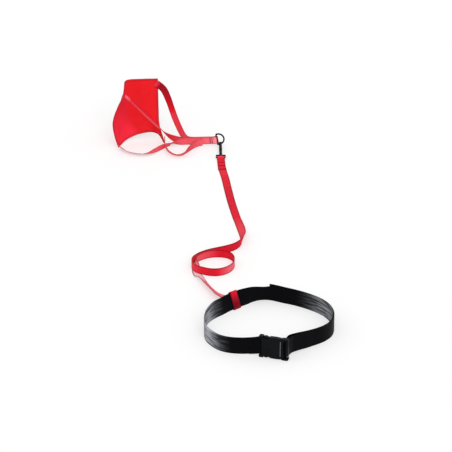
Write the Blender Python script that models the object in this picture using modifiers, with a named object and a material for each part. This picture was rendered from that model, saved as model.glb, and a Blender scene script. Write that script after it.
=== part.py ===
"""A swim parachute laid out on the floor: a belt, a webbing leash and a drag chute on four straps.

The layout is written in millimetres, +X to the right, +Y away from the belt, +Z up. LAYOUT_CENTRE
then moves it so that the origin lies on the floor, under the middle of the part.
"""
import math

import bmesh
import bpy
import numpy as np
from mathutils import Matrix, Vector

MM = 0.001
LAYOUT_CENTRE = (-31.5, -81.6)

# The clear gap between pieces that touch
GAP = 0.3

RED = (0.80, 0.02, 0.04)
RED_THREAD = (0.25, 0.01, 0.02)
BLACK = (0.012, 0.012, 0.014)
BLACK_THREAD = (0.03, 0.03, 0.03)
STEEL = (0.55, 0.56, 0.58)

# Webbing of the leash, of the chute's straps and of the tab
TAPE_WIDTH = 25.0
TAPE_THICK = 1.6
TAPE_STEP = 7.5
# Webbing of the belt
BELT_WIDTH = 50.0
BELT_THICK = 1.6
BELT_STEP = 9.0
STRETCH_LENGTH = 135.0
TAIL_END_X = 121.0
HEM_LENGTH = 30.0
# How far the outer layer stands from the main one, by the distance from the plug and from its end
RETURN_GAPS = ([0, 12, 30, 55, 75, 95, 115, 140], [5.6, 8.6, 11.4, 10.4, 8.2, 5.7, 3.4, 2.5])
TAIL_GAPS = ([0, 20, 40, 70], [7.2, 3.4, 1.4, 0.0])
HEM_GAPS = ([0, 8, 16, 24], [5.7, 4.6, 3.0, 2.4])
# The hem's rows of stitching, by the distance from its end
HEM_TACKS = (8.0, 16.0)
# The drag chute, a square of coated nylon
CHUTE_THICK = 0.8
CHUTE_CELLS = 14

# The side-release buckle; its own x runs from the socket to the plug, its own -y faces outwards
BUCKLE_AT = (149.6, -862.5)
BUCKLE_TURN = math.radians(-19.0)
BUCKLE_HEIGHT = 66.0
BUCKLE_THICK = 14.0
BUCKLE_WALL = 2.2
BUCKLE_LIFT = (BUCKLE_HEIGHT - BELT_WIDTH) / 2
SOCKET_LENGTH = 62.0
SOCKET_BAR_X = -60.0
SOCKET_SLOT_X = -53.4
CAVITY_DEPTH = 50.8
CAVITY_HALF = 27.5
WINDOW = (-49.5, -29.6)
SLOT_HALF = 26.6
PLUG_END_X = 23.0
PLUG_BODY_X = 8.2
PLUG_BAR_X = 13.0
BUCKLE_BAR_RADIUS = 1.8
BELT_TURN_RADIUS = BUCKLE_BAR_RADIUS + 0.45 + BELT_THICK / 2
ARM_ROOT = (-2.7, 21.0)
ARM_BOSS = 2.6
ARM_WIDTH = 8.4

# The leash's end, the swivel eye and the snap hook lie on the floor, nearly in line
LINE_TURN = (math.radians(2.85), 0.0, math.radians(0.8))
FOLD_TURN = (0.0, 0.0, math.radians(2.6))
EYE_WIRE = 1.8
EYE_SIDE = 2.4
EYE_INSIDE = (26.8, 11.0)
HUB_Y = 2 * EYE_WIRE + EYE_INSIDE[1]
HUB_RADIUS = 4.4
HUB_HALF = 3.3
PIN_RADIUS = 1.5
PIN_HEAD = (3.4, 1.6)
PIN_DEPTH = 9.0
HOOK_START_Y = HUB_Y + HUB_HALF + GAP
HOOK_LOOP_Y = 45.0
HOOK_END_Y = 105.5
HOOK_HALF = 7.2
HOOK_WALL = 3.0
HOOK_INNER = HOOK_HALF - HOOK_WALL
HOOK_THICK = 6.6
HOOK_NECK = 3.3
# Where the ring's wire lies in the hook: along it, and above its axis
WIRE_IN_HOOK = (98.0, 0.0)
GATE_Y = 61.0
GATE_TIP_Y = 85.5
GATE_WIDTH = 3.0
GATE_HALF = 1.6
GATE_PIN_RADIUS = 0.9

# The D-ring; its own z runs along the bar, its bow along its own x
RING_WIRE = 2.2
RING_BAR_HALF = 18.2
RING_STRAIGHT = 4.8
RING_CORNER = 2.5
RING_TILT = math.radians(-10.0)
RING_AT = (-29.6, 607.0, 26.0)
# The place on the bow that the hook holds, as an angle about the bow's middle
RING_HELD = math.radians(-78.0)

# The tab that joins the four straps to the ring
TAB_START = (-127.0, 625.5, 13.1)
TAB_THICK = 4.8
TAB_LOOP_HALF = 5.0
TAB_BELOW_RING = 2.4

# The leash's sewn loops, round the swivel eye and round the belt
HOOK_FOLD_LENGTH = 92.0
FOLD_THICK = 2 * TAPE_THICK + 0.1
BELT_LOOP_AT = (25.0, -555.5, 27.6)
BELT_LOOP_TURN = math.radians(41.0)
BELT_LOOP_LEAN = math.radians(14.0)
BELT_LOOP_SKEW = math.radians(7.0)
BELT_LOOP_HALF = BELT_WIDTH / 2 + 0.6
BELT_LOOP_CLEAR = 2.4
BELT_LOOP_REACH = 30.0
BELT_LOOP_DROP = 14.0 * math.sin(BELT_LOOP_LEAN)


def collection(name):
    """Return a new collection in the scene."""
    made = bpy.data.collections.new(name)
    bpy.context.scene.collection.children.link(made)
    return made


for old_object in list(bpy.data.objects):
    bpy.data.objects.remove(old_object, do_unlink=True)
PART = collection("swim_parachute")
CUTTERS = collection("cutters")
MATERIALS = {}


def finish_of(kind):
    """Return the Principled material of one kind of stuff, made once."""
    colour, roughness, metallic = {
        "red_webbing": (RED, 0.75, 0.0),
        "red_nylon": (RED, 0.55, 0.0),
        "red_thread": (RED_THREAD, 0.8, 0.0),
        "black_webbing": (BLACK, 0.7, 0.0),
        "black_thread": (BLACK_THREAD, 0.8, 0.0),
        "black_plastic": (BLACK, 0.4, 0.0),
        "steel": (STEEL, 0.3, 1.0),
    }[kind]
    if kind not in MATERIALS:
        made = bpy.data.materials.new(kind)
        made.use_nodes = True
        shader = made.node_tree.nodes["Principled BSDF"]
        shader.inputs["Base Color"].default_value = (*colour, 1.0)
        shader.inputs["Roughness"].default_value = roughness
        shader.inputs["Metallic"].default_value = metallic
        made.diffuse_color = (*colour, 1.0)
        MATERIALS[kind] = made
    return MATERIALS[kind]


class Body:
    """An empty on a moving piece's axis. It is placed in the layout, in millimetres."""

    def __init__(self, name, at, parent=None, turn=(0.0, 0.0, 0.0)):
        self.at = Vector(at)
        self.frame = Matrix.Rotation(turn[2], 3, "Z") @ Matrix.Rotation(turn[0], 3, "X")
        self.empty = bpy.data.objects.new(name, None)
        self.empty.empty_display_size = 0.02
        PART.objects.link(self.empty)
        start = parent.at if parent else Vector((*LAYOUT_CENTRE, 0.0))
        outer = parent.frame if parent else Matrix.Identity(3)
        self.empty.location = outer.inverted() @ (self.at - start) * MM
        self.empty.rotation_euler = (outer.inverted() @ self.frame).to_euler()
        if parent:
            self.empty.parent = parent.empty

    def local(self, point):
        """Turn a layout point, in millimetres, into this body's own metres."""
        return self.frame.inverted() @ (Vector(point) - self.at) * MM


def add(name, data, body, kind, location=(0, 0, 0), rotation=(0, 0, 0)):
    """Add a named piece to a body; its location is in the body's own millimetres."""
    piece = bpy.data.objects.new(name, data)
    PART.objects.link(piece)
    piece.parent = body.empty
    piece.location = Vector(location) * MM
    piece.rotation_euler = rotation
    data.materials.clear()
    data.materials.append(finish_of(kind))
    return piece


def round_edges(piece, width, segments=2):
    """Round the sharp edges of a piece."""
    edge = piece.modifiers.new("edges", "BEVEL")
    edge.width = width * MM
    edge.segments = segments
    edge.limit_method = "ANGLE"
    edge.angle_limit = math.radians(35.0)


def mesh_from(name, grid, smooth=False):
    """Turn a bmesh into a mesh."""
    mesh = bpy.data.meshes.new(name)
    grid.to_mesh(mesh)
    grid.free()
    if smooth:
        mesh.shade_smooth()
        mesh.set_sharp_from_angle(angle=math.radians(40))
    return mesh


def box_mesh(name, low, high):
    """Return a box between two corners, in millimetres."""
    low, high = Vector(low) * MM, Vector(high) * MM
    grid = bmesh.new()
    bmesh.ops.create_cube(grid, size=1.0)
    bmesh.ops.scale(grid, vec=high - low, verts=grid.verts)
    bmesh.ops.translate(grid, vec=(high + low) / 2, verts=grid.verts)
    return mesh_from(name, grid)


def rod_mesh(name, radius, length, axis="Z", at=(0, 0, 0), sides=16):
    """Return a cylinder about its middle, in millimetres."""
    grid = bmesh.new()
    bmesh.ops.create_cone(
        grid, cap_ends=True, segments=sides, radius1=radius * MM, radius2=radius * MM, depth=length * MM
    )
    if axis != "Z":
        turn = Matrix.Rotation(math.radians(90), 3, "Y" if axis == "X" else "X")
        bmesh.ops.rotate(grid, matrix=turn, verts=grid.verts)
    bmesh.ops.translate(grid, vec=Vector(at) * MM, verts=grid.verts)
    return mesh_from(name, grid, smooth=True)


def boolean(piece, mesh, operation="DIFFERENCE"):
    """Cut a mesh out of a piece, or join it on. The mesh is in the piece's own frame."""
    tool = bpy.data.objects.new(f"{piece.name}_tool", mesh)
    CUTTERS.objects.link(tool)
    tool.parent = piece
    tool.hide_render = True
    tool.display_type = "WIRE"
    cut = piece.modifiers.new(operation.lower(), "BOOLEAN")
    cut.operation = operation
    cut.object = tool
    cut.solver = "EXACT"


def arc(centre, radius, start, end, steps):
    """Return points of an arc, its angles in degrees."""
    angles = np.radians(np.linspace(start, end, steps + 1))
    return [(centre[0] + radius * math.cos(a), centre[1] + radius * math.sin(a)) for a in angles]


def rounded_box(low, high, radius, steps=4):
    """Return the outline of a rectangle with round corners."""
    (x0, y0), (x1, y1) = low, high
    outline = arc((x1 - radius, y1 - radius), radius, 0, 90, steps)
    outline += arc((x0 + radius, y1 - radius), radius, 90, 180, steps)
    outline += arc((x0 + radius, y0 + radius), radius, 180, 270, steps)
    outline += arc((x1 - radius, y0 + radius), radius, 270, 360, steps)
    pairs = zip(outline, outline[-1:] + outline[:-1])
    return [point for point, last in pairs if math.dist(point, last) > 0.01]


def plate_mesh(name, loops, thickness, stand=True, smooth=True):
    """Return a plate of closed outlines in millimetres. Standing, an outline's y becomes z."""
    curve = bpy.data.curves.new(name, "CURVE")
    curve.dimensions = "2D"
    curve.fill_mode = "BOTH"
    curve.extrude = thickness / 2 * MM
    for loop in loops:
        spline = curve.splines.new("POLY")
        spline.points.add(len(loop) - 1)
        spline.use_cyclic_u = True
        for point, (x, y) in zip(spline.points, loop):
            point.co = (x * MM, y * MM, 0.0, 1.0)
    holder = bpy.data.objects.new(name, curve)
    CUTTERS.objects.link(holder)
    bpy.context.view_layer.update()
    mesh = bpy.data.meshes.new_from_object(holder.evaluated_get(bpy.context.evaluated_depsgraph_get()))
    bpy.data.objects.remove(holder)
    grid = bmesh.new()
    grid.from_mesh(mesh)
    bmesh.ops.remove_doubles(grid, verts=grid.verts, dist=0.00002)
    bmesh.ops.dissolve_limit(grid, angle_limit=math.radians(1), verts=grid.verts, edges=grid.edges)
    if stand:
        bmesh.ops.rotate(grid, matrix=Matrix.Rotation(math.radians(90), 3, "X"), verts=grid.verts)
    bmesh.ops.recalc_face_normals(grid, faces=grid.faces)
    return mesh_from(name, grid, smooth)


def turn_mesh(mesh, angle, axis):
    """Rotate a mesh about its origin."""
    mesh.transform(Matrix.Rotation(angle, 4, axis))
    return mesh


def lengths_along(route):
    """Return the distance of each point along a route."""
    return np.concatenate([[0.0], np.cumsum(np.linalg.norm(np.diff(route[:, :3], axis=0), axis=1))])


def even_steps(route, step, start=0.0, end=None):
    """Take a route again at even steps, between two distances along it."""
    along = lengths_along(route)
    end = along[-1] if end is None else end
    wanted = np.linspace(start, end, max(2, round((end - start) / step) + 1))
    return np.column_stack([np.interp(wanted, along, column) for column in route.T])


def smooth_route(points, step=2.0):
    """Run a centripetal Catmull-Rom curve through points and take it at even steps."""
    p = np.array(points, float)
    p = np.vstack([2 * p[0] - p[1], p, 2 * p[-1] - p[-2]])
    fine = []
    for i in range(1, len(p) - 2):
        knots = [0.0]
        for a, b in zip(p[i - 1 : i + 2], p[i : i + 3]):
            knots.append(knots[-1] + max(np.linalg.norm(b[:3] - a[:3]), 1e-6) ** 0.5)
        t0, t1, t2, t3 = knots
        for t in np.linspace(t1, t2, 16, endpoint=False):
            a1 = ((t1 - t) * p[i - 1] + (t - t0) * p[i]) / (t1 - t0)
            a2 = ((t2 - t) * p[i] + (t - t1) * p[i + 1]) / (t2 - t1)
            a3 = ((t3 - t) * p[i + 1] + (t - t2) * p[i + 2]) / (t3 - t2)
            b1 = ((t2 - t) * a1 + (t - t0) * a2) / (t2 - t0)
            b2 = ((t3 - t) * a2 + (t - t1) * a3) / (t3 - t1)
            fine.append(((t2 - t) * b1 + (t - t1) * b2) / (t2 - t1))
    fine.append(p[-2])
    return even_steps(np.array(fine), step)


def laid(points, width, thickness):
    """Turn (x, y, lift, lean) points into centres; the lower edge stands the lift above the floor."""
    out = np.array(points, float)
    lean = np.radians(out[:, 3])
    out[:, 2] += abs(np.cos(lean)) * width / 2 + abs(np.sin(lean)) * thickness / 2
    return out


def ribbon(name, body, route, width, thickness, kind):
    """Add webbing along a route of (x, y, z, lean): a lean of 0 stands on edge, 90 lies flat."""
    curve = bpy.data.curves.new(name, "CURVE")
    curve.dimensions = "3D"
    curve.twist_mode = "Z_UP"
    curve.extrude = width / 2 * MM
    spline = curve.splines.new("POLY")
    spline.points.add(len(route) - 1)
    for point, (x, y, z, lean) in zip(spline.points, route):
        point.co = (*body.local((x, y, z)), 1.0)
        point.tilt = math.radians(lean)
    piece = add(name, curve, body, kind)
    shell = piece.modifiers.new("thickness", "SOLIDIFY")
    shell.thickness = thickness * MM
    shell.offset = 0.0
    return piece


# The belt on the floor, from beside the socket round the waist to behind the plug: x, y, lift, lean
BELT_LINE = [
    (73.0, -840.5, 7.0, 0.0),
    (56.0, -839.0, 5.0, 0.0),
    (40.0, -835.5, 3.0, 0.0),
    (23.3, -830.0, 1.0, 0.0),
    (6.9, -824.7, 0.2, 0.0),
    (-9.6, -817.0, 0.2, 0.0),
    (-26.0, -803.6, 0.2, 0.0),
    (-42.3, -781.5, 0.2, 0.0),
    (-53.5, -759.0, 0.2, 0.0),
    (-59.3, -735.0, 0.2, 0.0),
    (-60.4, -705.0, 0.2, 0.0),
    (-57.0, -670.0, 0.2, 0.0),
    (-45.5, -635.0, 0.2, -4.0),
    (-29.5, -609.5, 0.6, -11.0),
    (-12.0, -592.5, 1.8, -13.5),
    (6.5, -573.0, 3.1, -14.0),
    (25.0, -555.5, 3.1, -14.0),
    (41.0, -542.0, 2.8, -12.0),
    (57.5, -529.5, 1.6, -8.0),
    (75.5, -516.5, 0.6, 3.0),
    (93.0, -509.5, 0.2, 12.0),
    (110.0, -507.0, 0.2, 15.0),
    (127.0, -507.5, 0.2, 10.0),
    (144.0, -512.0, 0.2, 3.0),
    (161.0, -519.5, 0.2, 0.0),
    (195.0, -535.8, 0.2, 0.0),
    (228.5, -557.4, 0.2, 0.0),
    (262.0, -586.6, 0.2, 0.0),
    (279.0, -609.0, 0.2, 0.0),
    (291.5, -636.0, 0.2, 0.0),
    (298.5, -668.0, 0.2, 0.0),
    (298.0, -698.0, 0.2, 0.0),
    (290.0, -728.0, 0.2, 0.0),
    (273.0, -753.5, 0.4, 0.0),
    (255.5, -770.0, 0.8, 0.0),
    (238.4, -782.5, 1.6, 0.0),
    (221.4, -794.5, 3.0, 0.0),
    (204.7, -804.5, 4.4, 0.0),
    (188.0, -815.5, 6.0, 0.0),
    (172.5, -829.0, 7.4, 0.0),
]
# The leash on the floor, from its sewn fold at the hook to its loop on the belt: x, y, lift, lean
LEASH_RUN = [
    (-10.4, 416.0, 0.4, 90.0),
    (-8.0, 396.0, 0.2, 90.0),
    (-2.2, 352.0, 0.2, 90.0),
    (4.1, 290.0, 0.2, 90.0),
    (10.3, 230.0, 0.2, 90.0),
    (17.0, 170.0, 0.2, 90.0),
    (24.9, 110.0, 0.2, 90.0),
    (33.2, 52.0, 0.4, 90.0),
    (37.6, 26.0, 0.6, 94.0),
    (42.4, -6.0, 0.6, 100.0),
    (45.9, -32.0, 0.6, 110.0),
    (49.2, -65.0, 0.6, 127.0),
    (50.8, -100.0, 0.6, 148.0),
    (49.8, -118.0, 0.4, 163.0),
    (45.8, -136.0, 0.3, 173.0),
    (37.0, -156.0, 0.2, 178.0),
    (22.5, -174.0, 0.2, 180.0),
    (3.0, -187.0, 0.2, 180.0),
]
LEASH_COIL = [
    (-20.0, -199.0, 0.2, 180.0),
    (-45.0, -211.0, 0.2, 180.0),
    (-68.0, -227.0, 0.4, 180.0),
    (-87.0, -249.0, 1.4, 180.0),
    (-99.0, -277.0, 3.0, 180.0),
    (-99.0, -305.0, 3.6, 180.0),
    (-87.0, -328.0, 3.6, 180.0),
    (-67.0, -341.5, 3.2, 180.0),
    (-42.0, -347.5, 1.2, 180.0),
    (-16.0, -343.0, 0.2, 180.0),
    (8.0, -325.0, 0.2, 180.0),
    (22.0, -298.0, 0.2, 180.0),
    (24.5, -268.0, 0.2, 180.0),
    (16.5, -241.0, 0.2, 180.0),
    (0.0, -225.0, 0.2, 180.0),
]
LEASH_TAIL = [
    (-24.0, -219.5, 0.2, 180.0),
    (-48.0, -223.5, 0.2, 180.0),
    (-67.0, -235.5, 0.2, 176.0),
    (-80.0, -249.5, 0.3, 173.0),
    (-88.0, -265.0, 0.4, 168.0),
    (-90.5, -281.0, 0.5, 158.0),
    (-88.5, -295.0, 0.6, 136.0),
    (-87.5, -309.0, 0.6, 104.0),
    (-86.0, -323.0, 0.6, 90.0),
    (-83.0, -338.0, 0.6, 90.0),
    (-79.8, -349.0, 0.7, 86.0),
    (-75.5, -360.0, 0.8, 70.0),
    (-65.5, -388.0, 0.8, 54.0),
    (-54.0, -419.0, 1.4, 51.0),
    (-43.0, -446.0, 3.0, 52.0),
    (-31.0, -474.0, 6.4, 58.0),
    (-17.0, -500.0, 12.0, 74.0),
]
# The chute's straps, from a corner of the sheet to the tab: x, y, z, lean
STRAP_TOP_BACK = [
    (-229.0, 705.8, 183.0, 0.0),
    (-216.0, 703.0, 175.0, 0.0),
    (-202.0, 698.0, 163.0, -3.0),
    (-187.0, 690.0, 132.0, -6.0),
    (-175.0, 680.0, 99.0, -10.0),
    (-164.0, 669.0, 71.0, -12.0),
    (-150.0, 654.0, 43.0, -10.0),
    (-137.0, 641.0, 23.0, -5.0),
    (-124.0, 631.0, 15.0, 0.0),
    (-104.0, 625.6, 14.4, 0.0),
]
STRAP_TOP_FRONT = [
    (-324.0, 621.5, 171.0, 90.0),
    (-304.0, 621.5, 153.0, 90.0),
    (-277.0, 621.0, 125.0, 92.0),
    (-245.0, 620.0, 92.0, 95.0),
    (-214.0, 620.0, 60.0, 84.0),
    (-188.0, 622.0, 36.0, 52.0),
    (-165.0, 624.5, 21.0, 18.0),
    (-146.0, 625.5, 14.5, 4.0),
    (-128.2, 626.0, 13.0, 0.0),
]
STRAP_BOTTOM_FRONT = [
    (-344.0, 589.5, 9.0, 50.0),
    (-325.0, 559.4, 8.4, 54.0),
    (-302.0, 541.7, 7.2, 61.0),
    (-267.0, 535.4, 6.0, 67.0),
    (-245.0, 548.0, 4.2, 76.0),
    (-222.0, 581.0, 2.0, 87.0),
    (-198.0, 613.0, 1.7, 88.0),
    (-182.0, 621.0, 3.6, 82.0),
    (-166.0, 617.5, 9.4, 48.0),
    (-150.0, 619.5, 12.8, 14.0),
    (-138.0, 621.6, 13.0, 2.0),
    (-128.2, 623.9, 13.0, 0.0),
]
STRAP_BOTTOM_BACK = [
    (-199.0, 628.0, 16.6, 0.0),
    (-198.0, 613.0, 16.4, 0.0),
    (-195.5, 583.0, 14.8, 8.0),
    (-187.0, 553.0, 12.2, 25.0),
    (-172.0, 531.0, 9.6, 46.0),
    (-154.0, 521.0, 7.9, 57.0),
    (-140.0, 525.0, 9.6, 46.0),
    (-127.0, 546.0, 12.0, 24.0),
    (-112.0, 576.0, 12.9, 10.0),
    (-95.0, 600.0, 14.2, 3.0),
    (-76.0, 611.2, 15.5, 0.0),
]
# The sheet's shape: rows from its bottom edge to its top, each from the A-D edge to the B-C edge
CHUTE_ROWS = [
    [(-199, 631, 0.5), (-231, 671, 20), (-279, 665, 23), (-321, 640, 15), (-348, 598, 0.5)],
    [(-216, 665, 48), (-258, 690, 57), (-305, 687, 58), (-338, 645, 50), (-360, 601, 41)],
    [(-219, 692, 97), (-267, 702, 98), (-314, 697, 99), (-345, 652, 92), (-365, 607, 83)],
    [(-220, 704, 147), (-271, 708, 147), (-320, 703, 146), (-338, 662, 138), (-351, 620, 127)],
    [(-221, 712, 196), (-272, 711, 195), (-323, 706, 192), (-328, 664, 183), (-327, 622, 169)],
]


def spread(rows, share):
    """Interpolate smoothly between evenly spaced control points, at shares from 0 to 1."""
    rows = np.array(rows, float)
    rows = np.vstack([[2 * rows[0] - rows[1]], rows, [2 * rows[-1] - rows[-2]]])
    at = np.clip(np.asarray(share) * (len(rows) - 3), 0, len(rows) - 3 - 1e-9)
    i = at.astype(int)
    t = (at - i).reshape(-1, *[1] * (rows.ndim - 1))
    a, b, c, d = rows[i], rows[i + 1], rows[i + 2], rows[i + 3]
    return 0.5 * (2 * b + (c - a) * t + (2 * a - 5 * b + 4 * c - d) * t**2 + (3 * b - a - 3 * c + d) * t**3)


def chute_point(u, v):
    """Return the layout point of the sheet; u runs from the A-D edge to the B-C edge, v upwards."""
    row = spread(CHUTE_ROWS, [v])[0]
    return Vector(spread(row, [u])[0])


def at_buckle(x, y):
    """Return the (x, y, lift, lean) in the layout of a point in the buckle's own plan."""
    turned = Matrix.Rotation(BUCKLE_TURN, 2) @ Vector((x, y))
    return BUCKLE_AT[0] + turned.x, BUCKLE_AT[1] + turned.y, BUCKLE_LIFT, 0.0


def belt_turn(bar_x, start, end, steps):
    """Return the points of a webbing turn round one of the buckle's bars."""
    return [at_buckle(x, y) for x, y in arc((bar_x, 0.0), BELT_TURN_RADIUS, start, end, steps)]


def offset_line(line, distance):
    """Move a line sideways on the floor, to the left of its travel, and stand it upright."""
    moved = line.copy()
    ahead = np.gradient(line[:, :2], axis=0)
    ahead /= np.linalg.norm(ahead, axis=1)[:, None]
    moved[:, 0] -= ahead[:, 1] * distance
    moved[:, 1] += ahead[:, 0] * distance
    moved[:, 3] = 0.0
    return moved


def belt_webbing(belt):
    """The waist strap: one length of webbing, cut here into the strap, the stretch and the tail."""
    beside_socket = [at_buckle(SOCKET_BAR_X - 5.0, BELT_TURN_RADIUS)]
    behind_plug = [at_buckle(9.3, 30.0), at_buckle(9.4, 18.0), at_buckle(10.0, 8.0), at_buckle(10.2, 4.0)]
    line = smooth_route(beside_socket + BELT_LINE + behind_plug)
    along = lengths_along(line)
    cut = along[-1] - STRETCH_LENGTH

    outside = offset_line(line, np.interp(along[-1] - along, *RETURN_GAPS))
    end = along[np.argmin(abs(line[:, 0] - TAIL_END_X) + 1e3 * (line[:, 1] < BUCKLE_AT[1] + 200))]
    gaps = np.interp(along[-1] - along, *RETURN_GAPS) + np.interp(along - end, *TAIL_GAPS)
    outside = offset_line(line, gaps)
    hem = offset_line(line, np.interp(along, *HEM_GAPS))[(along < HEM_LENGTH)][::-1]
    socket_turn = belt_turn(SOCKET_BAR_X, -90.0, 90.0, 8)
    pieces = {
        "belt_strap": np.vstack([even_steps(hem, 6.0), socket_turn, even_steps(line, BELT_STEP, 0.0, cut)])
    }
    inner = even_steps(line, BELT_STEP, cut + GAP, along[-1])
    outer = outside[along > cut + GAP]
    plug_turn = belt_turn(PLUG_BAR_X, 165.0, 375.0, 12)
    pieces["belt_stretch_at_plug"] = np.vstack([inner, plug_turn, even_steps(outer[::-1], BELT_STEP)])
    pieces["belt_tail"] = even_steps(outside[(along > end) & (along < cut)], BELT_STEP)
    for name, route in pieces.items():
        ribbon(name, belt, laid(route, BELT_WIDTH, BELT_THICK), BELT_WIDTH, BELT_THICK, "black_webbing")
    belt_tacks(belt, hem)


def belt_tacks(belt, hem):
    """The rows of stitching that close the hem on the socket's side, on its outer face."""
    for number, reach in enumerate(HEM_TACKS, start=1):
        x, y, lift, _ = np.array([np.interp(reach, lengths_along(hem), column) for column in hem.T])
        i = int(np.searchsorted(lengths_along(hem), reach))
        travel = Vector(hem[i + 1][:2] - hem[i - 1][:2]).normalized()
        outwards = Vector((travel.y, -travel.x)) * (BELT_THICK / 2 + GAP + 0.35)
        place = belt.local((x + outwards.x, y + outwards.y, lift + BELT_WIDTH / 2)) / MM
        mesh = box_mesh("tack", (-1.2, -0.35, -21.0), (1.2, 0.35, 21.0))
        turn = (0.0, 0.0, math.atan2(travel.y, travel.x))
        round_edges(add(f"belt_hem_tack_{number}", mesh, belt, "black_thread", place, turn), 0.25, 1)


def mirrored(outline):
    """Close an upper outline with its mirror image below."""
    return outline + [(x, -z) for x, z in reversed(outline)]


def buckle_socket(frame):
    """The socket half: a shell with a mouth, two side windows and a bar for the webbing."""
    half = BUCKLE_HEIGHT / 2
    upper = [(0.0, half - 2.2), (-14.0, half - 1.2), (WINDOW[1], half - 1.6), (WINDOW[0], half)]
    upper += arc((3.0 - SOCKET_LENGTH, half - 3.0), 3.0, 90, 180, 3)
    mesh = plate_mesh("socket", [mirrored(upper)], BUCKLE_THICK, smooth=False)
    socket = add("buckle_socket", mesh, frame, "black_plastic")
    round_edges(socket, 1.6)
    inside = BUCKLE_THICK / 2 - BUCKLE_WALL
    boolean(socket, box_mesh("cavity", (-CAVITY_DEPTH, -inside, -CAVITY_HALF), (4.0, inside, CAVITY_HALF)))
    boolean(socket, box_mesh("slot", (-70.0, -9.0, -SLOT_HALF), (SOCKET_SLOT_X, 9.0, SLOT_HALF)))
    for side in (-1, 1):
        low, high = sorted((side * (CAVITY_HALF - 0.5), side * (half + 3.0)))
        boolean(socket, box_mesh("window", (WINDOW[0], -9.0, low), (WINDOW[1], 9.0, high)))
    bar = rod_mesh("bar", BUCKLE_BAR_RADIUS, 2 * SLOT_HALF + 4.0, at=(SOCKET_BAR_X, 0, 0))
    boolean(socket, bar, "UNION")


def buckle_plug(frame):
    """The plug half: a base with the webbing's bars and a guide tongue."""
    half = BUCKLE_HEIGHT / 2
    upper = [(PLUG_END_X, half - 3.0), (PLUG_END_X - 3.0, half - 0.6), (10.0, half), (GAP, half - 2.0)]
    mesh = plate_mesh("plug", [mirrored(upper)], 13.0, smooth=False)
    plug = add("buckle_plug", mesh, frame, "black_plastic")
    round_edges(plug, 1.4)
    boolean(plug, box_mesh("slot", (PLUG_BODY_X, -9.0, -SLOT_HALF), (40.0, 9.0, SLOT_HALF)))
    tongue = rounded_box((-36.0, -7.5), (2.0, 7.5), 3.0, 3)
    boolean(plug, plate_mesh("tongue", [tongue], 4.4, smooth=False), "UNION")
    into_wall = SLOT_HALF + 2.0
    bar = rod_mesh("bar", BUCKLE_BAR_RADIUS, 2 * into_wall, at=(PLUG_BAR_X, 0, 0))
    boolean(plug, bar, "UNION")
    low, high = (PLUG_END_X - 2.4, -4.0, -into_wall), (PLUG_END_X - 0.2, 1.0, into_wall)
    boolean(plug, box_mesh("end_bar", low, high), "UNION")


def buckle_arm(side, frame):
    """One of the plug's two spring arms, with its boss on the axis that it flexes about."""
    root = Vector((ARM_ROOT[0], 0.0, side_sign(side) * ARM_ROOT[1]))
    body = Body(f"arm_axis_{side}", frame.at + frame.frame @ root, frame, (0.0, 0.0, BUCKLE_TURN))
    outline = arc((0.0, 0.0), ARM_BOSS, 100, -100, 8)
    outline += [(-12.0, -1.6), (-30.0, -0.6), (-40.0, 0.8), (-45.0, 3.4)]
    outline += [(-46.4, 7.4), (-44.4, 10.8), (-40.6, 11.6), (-36.5, 11.4), (-32.6, 9.0)]
    outline += [(-27.5, 10.2), (-27.3, 5.8), (-14.0, 4.2)]
    outline = [(x, side_sign(side) * z) for x, z in outline]
    mesh = plate_mesh("arm", [outline], ARM_WIDTH, smooth=False)
    arm = add(f"buckle_arm_{side}", mesh, body, "black_plastic")
    round_edges(arm, 0.7, 1)


def side_sign(side):
    """Return +1 for the upper arm and -1 for the lower one."""
    return 1 if side == "upper" else -1


def leash_webbing(leash):
    """The leash from end to end, as its straight run, its coil and its tail."""
    out = Vector((-math.sin(BELT_LOOP_TURN), math.cos(BELT_LOOP_TURN)))
    end = Vector(BELT_LOOP_AT[:2]) + (BELT_LOOP_REACH + 3 * GAP) * out
    before = end + 10.0 * out
    height = BELT_LOOP_AT[2] - BELT_LOOP_DROP - TAPE_THICK / 2
    last = [(*before, height - 3.0, 85.0), (*end, height, 90.0)]
    points = laid(LEASH_RUN + LEASH_COIL + LEASH_TAIL + last, TAPE_WIDTH, TAPE_THICK)
    route = smooth_route(points)
    along = lengths_along(route)

    def reach(point):
        return along[np.argmin(np.linalg.norm(route[:, :2] - np.array(point[:2]), axis=1))]

    marks = [0.0, reach(LEASH_COIL[0]), reach(LEASH_TAIL[0]), along[-1]]
    pieces = {}
    for name, start, stop in zip(("leash_run", "leash_coil", "leash_tail"), marks, marks[1:]):
        pieces[name] = even_steps(route, TAPE_STEP, start + (GAP if start else 0.0), stop)
        ribbon(name, leash, pieces[name], TAPE_WIDTH, TAPE_THICK, "red_webbing")
    coil = even_steps(route, 1.0, marks[1], marks[2])
    far = lengths_along(coil)
    least = min(
        np.linalg.norm(coil[far > far[i] + 120.0, :2] - here[:2], axis=1).min()
        for i, here in enumerate(coil)
        if (far > far[i] + 120.0).any()
    )
    print(f"leash length {along[-1]:.0f} mm, coil's least gap to itself {least - TAPE_THICK:.2f} mm")


def fold_tacks(name, body, rows, top, kind="red_thread"):
    """Rows of stitching across a leash fold; each row is a distance from the body's origin."""
    for number, y in enumerate(rows, start=1):
        mesh = box_mesh("tack", (-10.5, y - 1.1, top + GAP), (10.5, y + 1.1, top + GAP + 0.7))
        round_edges(add(f"{name}_{number}" if len(rows) > 1 else name, mesh, body, kind), 0.25, 1)


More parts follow.
